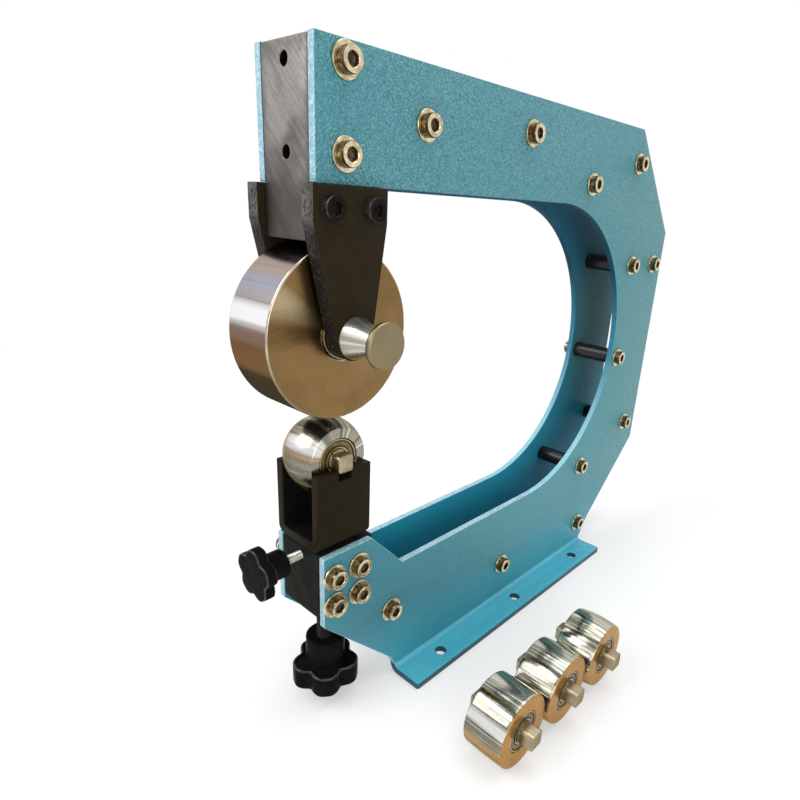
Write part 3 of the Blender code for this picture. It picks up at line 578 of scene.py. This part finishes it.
glossBlack = nodeFinish("moulded_gloss_black", (0.0045, 0.004, 0.0035), 0, 0.12, [
    grain(9, 3, (0.012, 0.011, 0.01), 0.7, rougher=0.06),
    grain(0.8, 2, (0.016, 0.015, 0.014), 0.3),
], [dents(1.6, 0.03, 0.4)], specular=0.2, ior=1.07)
# painted highlight: a lighter, glossier copy of the black for the knobs' rounded edges
glossBlackHighlightEdge = nodeFinish("moulded_gloss_edges_painted_highlight", (0.016, 0.015, 0.014), 0, 0.1, [
    grain(7, 3, (0.006, 0.0055, 0.005), 0.9, (0.42, 0.6), rougher=0.06),
], [dents(1.6, 0.03, 0.4)], specular=0.5, ior=1.45)
rodBlack = nodeFinish("blackened_rod", (0.008, 0.008, 0.0085), 0.1, 0.2, [
    grain((2200, 90, 90), 3, (0.024, 0.024, 0.026), 0.4, rougher=0.1),
    grain(8, 3, (0.018, 0.016, 0.015), 0.6),
], [dents((2600, 120, 120), 0.02, 0.5)], specular=0.3)
threadSteel = nodeFinish("dark_thread_steel", (0.012, 0.012, 0.013), 0.15, 0.42, [
    grain(3, 3, (0.03, 0.028, 0.026), 0.6, rougher=0.1),
], [dents(0.7, 0.02, 0.5)], specular=0.2, ior=1.25)
studSteel = nodeFinish("bright_stud_steel", (0.56, 0.54, 0.48), 1, 0.24, [
    grain(3, 3, (0.36, 0.33, 0.27), 0.6, rougher=0.1),
], [dents(0.7, 0.02, 0.5)])
print("finishes ready")

# the plate's outline as height over depth with each corner's radius; the foot lies flat below the bend
plate = dict(middle=22.5, thickness=5.0, edge=0.45, bendInside=3.0, bendSteps=13, footReach=50.0,
             footFront=69, footBack=348, throatCentre=(235, 222.5), throatRadius=125.0, throatSteps=72,
             footHoles=[108.5, 210.5, 312.5], footHoleRadius=4.5, footHoleReach=37.2)
front, back = plate["footFront"], plate["footBack"]
inner = plate["middle"] - plate["thickness"] / 2
middleRadius = plate["bendInside"] + plate["thickness"] / 2
bendStart = plate["bendInside"] + plate["thickness"]
flangeStart = bendStart - middleRadius * math.pi / 2
footEnd = flangeStart - (plate["footReach"] - (inner + bendStart))
plateCorners = np.array([
    (0, 413.5, 0.6), (0, 347.5, 0.6), (235, 347.5, 0), (235, 97.5, 0), (73, 97.5, 1.0), (43, 129.0, 1.0),
    (3, 129.0, 0.8), (3, 78, 0.8), (65, 16.5, 5.0), (front, bendStart, 4.0), (front, footEnd, 2.0),
    (back, footEnd, 2.0), (back, bendStart, 4.0), (359, 26, 6.0), (441, 102.8, 0), (441, 327, 0),
    (356, 413.5, 0)])


def plateLoops():
    # the outline with the throat's half circle, and the foot's holes
    soft = roundedPath(plateCorners[:, :2], plateCorners[:, 2], 6)
    throat, radius = np.array(plate["throatCentre"]), plate["throatRadius"]
    at = int(np.where((np.abs(soft - (throat + (0, radius))) < 0.01).all(axis=1))[0][0])
    arc = circle(throat, radius, np.linspace(np.pi / 2, -np.pi / 2, plate["throatSteps"] + 1)[1:-1])
    holeHeight = flangeStart - (plate["footHoleReach"] - (inner + bendStart))
    around = np.linspace(0, 2 * np.pi, 40, endpoint=False)
    holes = [circle((y, holeHeight), plate["footHoleRadius"], around) for y in plate["footHoles"]]
    return [np.concatenate([soft[:at + 1], arc, soft[at + 1:]]), *holes]


def bendSheet(points):
    # height above the bend stays, the bend turns by a quarter about its centre, the rest lies flat outwards
    y, s, w = points.T
    turn = np.clip((bendStart - s) / (bendStart - flangeStart), 0, 1) * np.pi / 2
    x = inner + bendStart - (middleRadius - w) * np.cos(turn) + np.maximum(flangeStart - s, 0)
    z = bendStart - (middleRadius - w) * np.sin(turn) + np.maximum(s - bendStart, 0)
    return np.stack([x, y, z], axis=1)


for side, label in bothSides:
    mesh = cutSheet(plateLoops(), plate["thickness"], plate["edge"])
    work = bmesh.new()
    work.from_mesh(mesh)
    bmesh.ops.remove_doubles(work, verts=work.verts, dist=0.0005)
    for height in np.linspace(bendStart, flangeStart, plate["bendSteps"]):
        bmesh.ops.bisect_plane(work, geom=work.verts[:] + work.edges[:] + work.faces[:], dist=0.0001,
                               plane_co=(0, float(height), 0), plane_no=(0, 1, 0))
    work.to_mesh(mesh)
    work.free()
    mesh.update()
    normals, (y, s, w) = values(mesh.polygons, "normal"), values(mesh.polygons, "center").T
    # a face is part of the cut edge where its normal lies in the sheet; the arm's underside and the foot's
    # edges get painted shade, the other cut edges but the throat's arc painted light, and the side towards
    # the other plate is the inside, in painted shade
    cutEdge = np.abs(normals[:, 2]) < 0.9
    throatY, throatZ = plate["throatCentre"]
    arc = (np.abs(np.hypot(y - throatY, s - throatZ) - plate["throatRadius"]) < 1) & (y > throatY)
    shaded = (normals[:, 1] < -0.25) & (s > throatZ) | (s < bendStart)
    slots = np.where(cutEdge, np.where(arc, 4, np.where(shaded, 2, 1)), np.where(w < 0, 3, 0))
    place(mesh, bendSheet(values(mesh.vertices, "co")) * (side, 1, 1), slots)
    paints = [hammerBlue, litEdgeBlue, edgeShade, innerShadeBlue, throatBlue]
    dress(finishMesh(f"side_plate_{label}_sheet", mesh, paints, 40), "frame", "blue_plate_paint",
          f"side_plate_{label}")
print("side plates bent")

fixings = dict(
    spacers=[(78, 382.5), (183.5, 390.5), (355, 385.2), (275.7, 363.5), (371, 296.5), (419, 296.5),
             (371, 206), (413, 127.5), (325, 99.5), (336, 30.5), (199.5, 39.5), (62, 62.9)],
    blockScrews=[(18.5, 403.9), (18.5, 362.0), (10.8, 114.0), (31.2, 114.0), (31.2, 93.2), (10.8, 93.2)],
    forkScrews=[(6.0, 336), (34.0, 336)], rodRadius=7.5, rodHalf=19.95, rodEdge=0.6,
    headRadius=6.5, headHeight=5.0, headChamfer=0.9, knurlDepth=0.13, socketFlat=3.0, socketDepth=2.6,
    washerHole=4.5, washerRadius=8.8, washerThickness=1.6, washerEdge=0.45, washerGap=0.05, plateFace=25.05,
    forkFace=29.75)


def screwHead(y, z, seat, side, segments=72):
    # a knurled cylinder with a chamfered crown, whose face runs in to a six-sided socket; side, crown and
    # socket have a finish each
    top, r, flat = seat + fixings["headHeight"], fixings["headRadius"], fixings["socketFlat"]
    deep = top - fixings["socketDepth"]
    rows = np.array([
        (r - 0.5, seat), (r - 0.12, seat + 0.35), (r, seat + 0.8), (r, top - 1.5), (r - 0.02, top - 1.35),
        (r - 0.1, top - 0.55), (r - 0.35, top - 0.16), (r - fixings["headChamfer"], top), (flat * 1.3, top),
        (flat * 1.21, top - 0.25), (flat, top - 0.55), (flat, deep), (flat * 0.55, deep - 0.5),
        (0, deep - 0.9)])
    slots = [1] * 6 + [0] * 3 + [2] * 5

    def headRadius(radius, along, turn):
        # every second point of the knurled rows lies lower, and the socket's rows follow a hexagon
        radius[2:4] -= fixings["knurlDepth"] * (np.arange(segments) % 2)
        radius[10:13] /= np.cos((turn + np.pi / 6) % (np.pi / 3) - np.pi / 6)
        return radius

    return lathe(rows * (1, side), "x", (0, y, z), segments, slots, headRadius, caps=(0,))


def washer(y, z, side):
    # a flat ring, stamped edge on one side and rounded on the other
    hole, r, low = fixings["washerHole"], fixings["washerRadius"], fixings["plateFace"]
    high = low + fixings["washerThickness"]
    ring = softProfile([(hole, low), (r, low), (r, high), (hole, high)], fixings["washerEdge"], 3)
    return lathe(ring * (1, side), "x", (0, y, z), 64, close=True)


r, h = fixings["rodRadius"], fixings["rodHalf"]
rodProfile = softProfile([(0, -h), (r, -h), (r, h), (0, h)], fixings["rodEdge"], 3)
rods = [lathe(rodProfile, "x", (0, y, z), 64) for y, z in fixings["spacers"]]
dress(buildPiece("spacer_rods", rods, [rodBlack]), "frame", "black_rod_steel",
      *[f"spacer_bolt_{i}" for i in range(1, 13)])
seat = fixings["plateFace"] + fixings["washerThickness"] + fixings["washerGap"]
screws = [(y, z, side) for y, z in fixings["spacers"] + fixings["blockScrews"] for side, label in bothSides]
headPiece = buildPiece("frame_screw_heads", [screwHead(y, z, seat, side) for y, z, side in screws],
                       [zinc, zincSideShade, zincSocket], 28)
dress(headPiece, "frame", "yellow_zinc",
      *[f"{owner}_screw_{label}_{i}" for owner, count in (("upper_block", 2), ("lower_block", 4))
        for label in ("left", "right") for i in range(1, count + 1)])
washerPiece = buildPiece("frame_screw_washers", [washer(*screw) for screw in screws], [zinc], 28)
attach(washerPiece, "frame")
seat = fixings["forkFace"]
forkHeads = [screwHead(y, z, seat, side) for y, z in fixings["forkScrews"] for side, label in bothSides]
dress(buildPiece("fork_screw_heads", forkHeads, [glossOxide, glossEdgeHighlight, glossOxide], 28), "frame",
      "black_oxide_steel", *[f"fork_screw_{label}_{i}" for label in ("left", "right") for i in (1, 2)])
print("screws set")

upperBlock = dict(low=(-19.7, 0, 319.0), high=(19.7, 45.0, 413.0), edge=0.9, holes=[403.9, 362.0],
                  radius=3.5, mouth=0.6, depth=24.0, wallBand=0.05)
r, mouth, deep = upperBlock["radius"], upperBlock["mouth"], upperBlock["depth"]
blockSheet = block(upperBlock["low"], upperBlock["high"], upperBlock["edge"])
blockPiece = buildPiece("upper_block_body", [blockSheet], [milledSteel, boreDark])
drillProfile = [(0, 3), (r + mouth, 3), (r + mouth, 0), (r, -mouth), (r, 2 - deep), (0, -deep)]
subtract(blockPiece, [lathe(drillProfile, "-y", (0, 0, height), 48) for height in upperBlock["holes"]])
# the walls of the holes get painted shade: faces within a hole's radius of its axis
wall = r + upperBlock["wallBand"]
for height in upperBlock["holes"]:
    markFaces(blockPiece, lambda at: np.hypot(at[:, 0], at[:, 2] - height) < wall, 1)
dress(blockPiece, "frame", "dark_block_steel", "upper_block")
print("upper block cut")

fork = dict(inner=20.0, outer=29.7, front=-5.0, back=45.0, top=347.2, shoulder=328.5, endCentre=(22.5, 267.9),
            endRadius=13.2, edge=0.5, topRadius=0.8)


def forkLoop():
    # straight down to the shoulder, then the two tangents to the round end
    (cy, cz), r = fork["endCentre"], fork["endRadius"]
    ends = []
    for y, turn in ((fork["back"], 1), (fork["front"], -1)):
        dy, dz = y - cy, fork["shoulder"] - cz
        ends.append(math.atan2(dz, dy) - turn * math.acos(r / math.hypot(dy, dz)))
    right, left = ends
    endArc = circle((cy, cz), r, np.linspace(right, left - 2 * np.pi if left > right else left, 40))
    corners = [(fork[y], fork[z]) for y, z in (("front", "top"), ("back", "top"), ("back", "shoulder"),
                                               ("front", "shoulder"))]
    head = roundedPath(corners, [fork["topRadius"], fork["topRadius"], 0, 0], 4)
    return np.concatenate([head[:-1], endArc, head[-1:]])


for side, label in bothSides:
    mesh = cutSheet([forkLoop()], fork["outer"] - fork["inner"], fork["edge"])
    mesh.update()
    y, z, w = values(mesh.vertices, "co").T
    middle = (fork["outer"] + fork["inner"]) / 2
    cutEdge = np.abs(values(mesh.polygons, "normal")[:, 2]) < 0.5
    place(mesh, np.stack([side * (middle + w), y, z], axis=1), cutEdge)
    dress(finishMesh(f"fork_plate_{label}_arm", mesh, [blackOxide, flameCut], 40), "frame",
          "black_oxide_steel", f"fork_plate_{label}")
print("fork arms cut")

wheel = dict(radius=50.0, half=18.5, edge=0.9, flatEnd=0.3, bore=14.3, step=1.2, segments=224,
             bearingRadius=14.0, bearingIn=12.7, bearingOut=19.7, boreRadius=7.5)
# half of the wheel's section: the flat rim ends in a narrow ring of its own, then comes the polished edge,
# and the face has a shallow turned step round the bearing
r, h, e, b = wheel["radius"], wheel["half"], wheel["edge"], wheel["bore"]
halfProfile = [(r, h - e - wheel["flatEnd"]), (r, h - e), (r - 0.12, h - e * 0.55), (r - e * 0.55, h - 0.12),
               (r - e, h), (r - e - 0.6, h), (r - 4, h), (38.0, h), (28.0, h), (b + wheel["step"], h),
               (b + 0.5, h - 0.1), (b, h - 0.6)]
wheelProfile = halfProfile[::-1] + [(r, 0.0)] + [(radius, -along) for radius, along in halfProfile]
# 1 is the polished edge, 2 the turned face and 0 the ground rim, from the bore outwards
halfSlots = [1, 1, 2, 2, 2, 2, 2, 1, 1, 1, 0, 0]
wheelPiece = buildPiece("upper_wheel_body", [lathe(wheelProfile, "x", wheelCentre, wheel["segments"],
                                                   halfSlots + halfSlots[::-1] + [2], close=True)],
                        [rimSteel, brightEdge, faceSteel])
dress(wheelPiece, "upper_wheel", "polished_wheel_steel", "upper_wheel")

# a bearing's section from bore to outer ring: where each ring, groove and shield ends, and how deep they lie
bearingSteps = dict(marks=[0, 0.20, 0.215, 0.30, 0.315, 0.72, 0.735, 0.82, 0.835], shieldBack=0.35,
                    grooveBack=0.95, softening=[0, 0.3, 0.12, 0, 0, 0.12, 0.12, 0, 0, 0.12, 0.3, 0])


def bearings(prefix, centre, wheelValues, body):
    # outer ring, a groove, the pressed shield set back, another groove and the inner ring, one turned section
    w, s = wheelValues, bearingSteps
    face, outer, bore = w["bearingOut"], w["bearingRadius"], w["boreRadius"]
    shield, deep = face - s["shieldBack"], face - s["grooveBack"]
    marks = bore + (outer - bore) * np.array(s["marks"])
    heights = (face, face, deep, deep, shield, shield, deep, deep, face)
    corners = [(bore, w["bearingIn"]), *zip(marks, heights), (outer, face), (outer, w["bearingIn"])]
    soft = softProfile(corners, s["softening"], 3)
    middle = (soft[:, 0] + np.roll(soft[:, 0], -1)) / 2
    groove = ((middle > marks[1]) & (middle < marks[4])) | ((middle > marks[5]) & (middle < marks[8]))
    slots = np.where(groove, 2, np.where((middle > marks[4]) & (middle < marks[5]), 1, 0))
    slots[-1] = 0
    for side, label in bothSides[::-1]:
        ring = lathe(soft * (1, side), "x", centre, 96, slots, close=True)
        dress(buildPiece(f"{prefix}bearing_{label}_rings", [ring], [ringSteel, shieldOlive, grooveDark]),
              body, "bearing_steel", f"{prefix}bearing_{label}")


bearings("upper_wheel_", wheelCentre, wheel, "upper_wheel")

pin = dict(shaft=7.2, tip=-31.7, point=2.0, base=30.0, baseRadius=12.3, baseEnd=31.0, waist=6.25,
           waistAt=48.0, discAt=52.0, discEnd=56.5, discRadius=13.25, discEdge=0.9,
           softening=[0, 0.4, 0.4, 0.3, 0.4, 0.4, 3.0, 1.0, 0.5, 0.8, 0.7, 0.5, 0])
shaft, tip, point, base, baseRadius, baseEnd, waist, waistAt, disc, end, r, e, softening = pin.values()
pinProfile = softProfile([
    (0, tip), (shaft - point, tip), (shaft, tip + point), (shaft, base), (baseRadius, base),
    (baseRadius, baseEnd), (waist, waistAt), (waist, disc - 0.2), (r - 1.2, disc), (r, disc + 1.3),
    (r, end - e), (r - e, end), (0, end)], softening, 5)
pinTurned = lathe(pinProfile, "x", wheelCentre, 128, (pinProfile[:, 1] > disc + 0.6).astype(int))
dress(buildPiece("wheel_axle_pin_body", [pinTurned], [satinPin, satinDisc]), "axle_pin", "bright_metal",
      "wheel_axle_pin")
print("upper wheel and pin turned")

holder = dict(half=21.5, front=1.5, back=43.5, bottom=131.5, top=183.7, wall=6.2, floor=6.0, corner=6.0,
              inside=2.6, edge=0.55, lip=0.5, notches=[(6.0, 182.2), (5.2, 177.2)], notchEdge=0.3,
              notchReach=30, notchTop=192.7, wallBand=0.05)
half, low, top, lip = holder["half"], holder["bottom"], holder["top"], holder["lip"]
corner, inside = holder["corner"], holder["inside"]
hollow, floorTop = half - holder["wall"], low + holder["floor"]
uShape = roundedPath(
    [(-half, top), (-half, low), (half, low), (half, top), (hollow, top), (hollow, floorTop),
     (-hollow, floorTop), (-hollow, top)], [lip, corner, corner, lip, lip, inside, inside, lip], 8)
mesh = cutSheet([uShape], holder["back"] - holder["front"], holder["edge"])
x, z, w = values(mesh.vertices, "co").T
place(mesh, np.stack([x, (holder["front"] + holder["back"]) / 2 + w, z], axis=1))
holderPiece = finishMesh("anvil_holder_yoke", mesh, [holderOxide, boreDark], 40)
# each notch is cut through both walls: half its width and the height of its floor
reach, middle = holder["notchReach"], anvilCentre[1]
subtract(holderPiece, [
    block((-reach, middle - wide, seat), (reach, middle + wide, holder["notchTop"]), holder["notchEdge"])
    for wide, seat in holder["notches"]])
# the inside of the U is in shade
markFaces(holderPiece, lambda at: (np.abs(at[:, 0]) < hollow + holder["wallBand"])
          & (at[:, 2] > floorTop - holder["wallBand"]) & (at[:, 1] > holder["front"] + holder["edge"]), 1)
dress(holderPiece, "holder", "black_oxide_steel", "anvil_holder")
print("anvil holder cut")

anvil = dict(radius=25.3, half=15.0, edge=0.9, bore=14.3, bearingRadius=14.0, bearingIn=7.5, bearingOut=14.5,
             boreRadius=7.5, axle=7.2, square=5.7, axleHalf=25.0, squarePower=9.0, squareGrowth=1.26,
             mountedSlide=2.5, crown=26.5, segments=160)


def anvilProfile(crown):
    # radius falls away from the middle as the crown's circle does, and each face has a raised polished lip
    e, h, b = anvil["edge"], anvil["half"], anvil["bore"]
    along = np.linspace(h - e, e - h, 25)
    radius = anvil["radius"] - crown + np.sqrt(crown ** 2 - along ** 2)
    rim = radius[0]
    lip = [(b, h - 0.5), (b + 0.4, h - 0.05), (b + 0.9, h), (rim - 1.1 * e, h), (rim - 0.55 * e, h - 0.10),
           (rim - 0.16 * e, h - 0.45 * e)]
    if rim - 1.2 * e < b + 1.0:
        lip = [(b, h - 0.3), (b + 0.3, h), (rim - 0.7 * e, h), (rim - 0.3 * e, h - 0.2)]
    slots = [1] * (len(lip) - 1) + [0] * (len(along) + 1) + [1] * len(lip)
    return lip + list(zip(radius, along)) + [(r, -c) for r, c in lip[::-1]], slots


def buildAnvil(prefix, centre, crown, wheelBody, axleBody, faceFinish, sideFinish, slide=0.0):
    # the crowned wheel, its bearings and its axle, which may lie a little to one side
    profile, slots = anvilProfile(crown)
    turned = lathe(profile, "x", centre, anvil["segments"], slots, close=True)
    dress(buildPiece(prefix + "wheel_body", [turned], [faceFinish, sideFinish], 35), wheelBody,
          "anvil_chrome", prefix + "wheel")
    bearings(prefix, centre, anvil, wheelBody)
    # round in the bearings; past them the radius follows a square with softened corners
    a, q, end, far = anvil["axle"], anvil["square"], anvil["axleHalf"] - slide, -anvil["axleHalf"] - slide
    rows = [(0, far), (q - 0.9, far), (q - 0.25, far + 0.25), (q, far + 0.9), (q, -15.3), (a, -15.0),
            (a, 15.0), (q, 15.3), (q, end - 0.9), (q - 0.25, end - 0.25), (q - 0.9, end), (0, end)]

    def axleRadius(radius, along, turn):
        power = anvil["squarePower"]
        grow = 1 / (np.abs(np.cos(turn)) ** power + np.abs(np.sin(turn)) ** power) ** (1 / power)
        squared = np.abs(along) > anvil["half"] + 0.1
        return radius * np.where(squared, np.minimum(grow, anvil["squareGrowth"]), 1.0)

    dress(buildPiece(prefix + "axle_bar", [lathe(rows, "x", centre, radiusOf=axleRadius)], [axleSteel], 28),
          axleBody, "bright_metal", prefix + "axle")


buildAnvil("anvil_", anvilCentre, anvil["crown"], "anvil", "holder", chrome, chrome, anvil["mountedSlide"])
# each spare's place and the radius of its crown
spares = [((124.0, 73.5, 25.3), 400.0), ((125.8, 124.8, 25.3), 150.0), ((127.6, 176.1, 25.3), 75.0)]
# painted reflections on the spares, by angle: a warm brown band below the front, dark bands, a bright band
# and a light band near the top
spareReflectionBands = [(-22, 12, 24, (0.52, 0.29, 0.1), 0.85), (13, 4, 9, (0.17, 0.145, 0.125), 0.6),
              (29, 4, 10, (0.9, 0.9, 0.88), 0.75), (46, 4, 12, (0.13, 0.135, 0.11), 0.65),
              (67, 4, 12, (0.12, 0.125, 0.09), 0.6), (106, 16, 28, (0.62, 0.62, 0.53), 0.6)]
for spare, (centre, crown) in enumerate(spares, 1):
    spareFinish = chromeFinish(f"spare_chrome_{spare}", centre, (0.235, 0.23, 0.175), 1.0, 11 * spare,
                               7 + spare, spareReflectionBands, 0.12)
    buildAnvil(f"spare_anvil_{spare}_", centre, crown, f"spare_{spare}", f"spare_{spare}_axle",
               spareFinish, warmReflectionSide)
print("anvils turned")

adjuster = dict(star=23.5, hub=13.7, face=12.5, middle=28.5, hubEnd=49.0, edge=1.3, turn=-37.0, up=1)
clamp = dict(star=17.1, hub=9.2, face=32.0, middle=24.5, hubEnd=10.0, edge=0.9, turn=90.0, up=-1)
adjusterOrigin, clampOrigin = (0, 22.5, 0), (0, 0, 122.0)
screwThread = dict(radius=6.0, pitch=1.75, depth=0.9, start=16.8, end=96.9, segments=48)
studThread = dict(radius=3.0, pitch=1.0, depth=0.35, start=-12.2, end=27.7, segments=40)


def starRadius(turn, tip, lobeTurn):
    # petals: the radius rises from valley to tip with a softened power of the cosine of five times the angle
    wave = 0.5 + 0.5 * np.cos(5 * (turn - math.radians(lobeTurn)))
    lobe = np.clip(wave * 1.18, 0, 1) ** 0.8
    return tip * (0.79 + 0.21 * lobe * (1.4 - 0.4 * lobe))


def starKnob(knob, axis, origin):
    # rings of the star from its face to its back, then the hub's step; rings shift inwards round each edge
    e, hub = knob["edge"], knob["hub"]
    back, total = abs(knob["middle"] - knob["face"]), abs(knob["hubEnd"] - knob["face"])
    turn = np.linspace(0, 2 * np.pi, 160, endpoint=False)
    star = starRadius(turn, knob["star"], knob["turn"])
    inset = [(e * (1 - math.sin(a)), e * (1 - math.cos(a))) for a in np.linspace(0, np.pi / 2, 5)]
    rings = [(0 * star, 0), (0.30 * star, 0), (0.62 * star, 0)]
    rings += [(star - i, d) for i, d in inset] + [(star - i, back - d) for i, d in inset[::-1]]
    # the hub side is dished inside a narrow raised rim
    rings += [(star - e - shift, back - drop) for shift, drop in ((0.9, 0), (1.4, 0.25), (1.9, 1.0))]
    rings.append(((star - e - 1.9 + hub) / 2, back - 1.2))
    rings += [(r + 0 * turn, z) for r, z in softProfile([
        (hub + 1.0, back - 1.2), (hub, back - 0.2), (hub, total - 0.9), (hub - 0.9, total),
        (hub - 2.6, total), (hub - 3.0, total - 0.5), (0, total - 0.5)], [0, 0.8, 0.8, 0.5, 0.3, 0.3, 0])]
    # the two rounded edges have a finish of their own, a painted highlight
    slots = np.zeros(len(rings), dtype=int)
    slots[3:7] = slots[8:12] = 1
    profile, radii = [(0, knob["face"] + knob["up"] * z) for r, z in rings], np.stack([r for r, z in rings])
    return lathe(profile, axis, origin, len(turn), slots, lambda *given: radii)


for name, knob, axis, origin, body, node in (
        ("adjusting_knob_star", adjuster, "z", adjusterOrigin, "adjuster", "adjusting_knob"),
        ("clamp_knob_star", clamp, "-y", clampOrigin, "clamp_knob", "clamp_knob")):
    dress(buildPiece(name, [starKnob(knob, axis, origin)], [glossBlack, glossBlackHighlightEdge], 40), body,
          "gloss_black_plastic", node)


def threadedRod(axis, origin, radius, pitch, depth, start, end, segments):
    # the radius falls by a three-sided wave of (along / pitch - angle / full turn)
    perTurn, tip = 8, radius * 0.86
    along = np.linspace(start, end, int((end - start) / pitch * perTurn))
    fade = np.clip(np.minimum(along - start, end - along) / pitch, 0, 1)

    def groove(radii, height, turn):
        wave = (height / pitch - turn / (2 * np.pi)) % 1.0
        ridge = 1 - np.abs(2 * wave - 1)
        return radii - depth * np.clip(1.25 * ridge - 0.1, 0, 1) * (radii > radius * 0.9)

    profile = [(0, start), (tip, start), *zip(radius - 0.5 * (1 - fade), along), (tip, end), (0, end)]
    return lathe(profile, axis, origin, segments, radiusOf=groove)


screwRod = threadedRod("z", adjusterOrigin, **screwThread)
dress(buildPiece("adjusting_screw_thread", [screwRod], [threadSteel], 50), "adjuster", "black_oxide_steel",
      "adjusting_screw")
studRod = threadedRod("-y", clampOrigin, **studThread)
dress(buildPiece("clamp_stud_thread", [studRod], [studSteel], 50), "clamp_stud", "bright_metal", "clamp_stud")
print("knobs and threads made")

for node, finish in (("lower_block", darkBlock), ("holder_post", threadSteel)):
    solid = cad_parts[node]
    solid.data.materials.clear()
    solid.data.materials.append(finish)
print("carried-over solids finished")

studio = dict(floorHalf=6.0, floorFade=(0.45, 1.3), floorGlow=0.42, floorColour=(0.93, 0.93, 0.925),
              worldColour=(0.98, 0.985, 1.0), worldStrength=0.62, aim=(0, 0, 0.2),
              lamps=dict(key=((-0.9, -1.5, 1.7), 1.5, 24.0), fill=((1.7, -1.1, 0.65), 1.4, 11.0),
                         top=((0.1, 0.3, 2.1), 1.8, 21.0)))


def whitened(tree, shader, white, output, share=1.0):
    # camera, glossy and transmitted rays see white instead, by a share; the rays that carry light do not
    rays = addNode(tree, "LightPath").outputs
    seen = number(tree, "MAXIMUM", rays["Is Camera Ray"], rays["Is Glossy Ray"])
    seen = number(tree, "MAXIMUM", seen, rays["Is Transmission Ray"])
    mix = addNode(tree, "MixShader", {0: number(tree, "MULTIPLY", seen, share), 1: shader.outputs[0],
                                      2: addNode(tree, white, {"Color": (1, 1, 1, 1)}).outputs[0]})
    tree.links.new(mix.outputs[0], output.inputs["Surface"])


# where it is seen the floor is lightened, and it passes into the white background far away
floorFinish = bpy.data.materials.new("pale_floor")
floorFinish.use_nodes = True
tree = floorFinish.node_tree
pale = tree.nodes["Principled BSDF"]
fill(tree, pale, {"Base Color": (*studio["floorColour"], 1), "Roughness": 0.9, "Specular IOR Level": 0})
near, away = studio["floorFade"]
reach = {"Value": vector(tree, "LENGTH", addNode(tree, "TexCoord").outputs["Object"]), "From Min": near,
         "From Max": away, "To Min": studio["floorGlow"]}
whitened(tree, pale, "Emission", tree.nodes["Material Output"],
         addNode(tree, "MapRange", reach, interpolation_type="SMOOTHSTEP").outputs["Result"])
floorMesh = bpy.data.meshes.new("floor")
far = studio["floorHalf"]
floorMesh.from_pydata([(-far, -far, 0), (far, -far, 0), (-far, far, 0), (far, far, 0)], [], [(0, 1, 3, 2)])
floorMesh.materials.append(floorFinish)
link("floor", floorMesh)

world = bpy.data.worlds.new("studio")
world.use_nodes = True
bpy.context.scene.world = world
tree = world.node_tree
tree.nodes.clear()
sky = addNode(tree, "Background", {"Color": (*studio["worldColour"], 1), "Strength": studio["worldStrength"]})
whitened(tree, sky, "Background", addNode(tree, "OutputWorld"))

for name, (spot, size, power) in studio["lamps"].items():
    lamp = bpy.data.lights.new(name, "AREA")
    lamp.shape = "DISK"
    lamp.size = size
    lamp.energy = power
    lampObject = link(name, lamp)
    lampObject.location = spot
    lampObject.rotation_euler = (Vector(studio["aim"]) - Vector(spot)).to_track_quat("-Z", "Y").to_euler()

# the photograph's camera: its turn as one rotation vector, focal length and centre in pixels, and its place
view = dict(turn=(1.7904, 0.7405, -0.4525), focal=592.0419, centre=(431.3936, 417.7791),
            spot=(281.034, -191.188, 338.856), width=800, sensor=36)
turn = Vector(view["turn"])
rows = Matrix.Rotation(turn.length, 3, turn.normalized())
camera = bpy.data.cameras.new("camera")
camera.sensor_width = view["sensor"]
camera.lens = view["focal"] * view["sensor"] / view["width"]
camera.shift_x = (view["width"] / 2 - view["centre"][0]) / view["width"]
camera.shift_y = (view["centre"][1] - view["width"] / 2) / view["width"]
camera.clip_end = 50
cameraObject = link("camera", camera)
cameraPlace = Matrix((rows[0], -rows[1], -rows[2])).transposed().to_4x4()
cameraPlace.translation = Vector(inFrame(view["spot"]))
cameraObject.matrix_world = cameraPlace
bpy.context.scene.camera = cameraObject
bpy.context.scene.view_settings.view_transform = "Standard"
print("studio set")
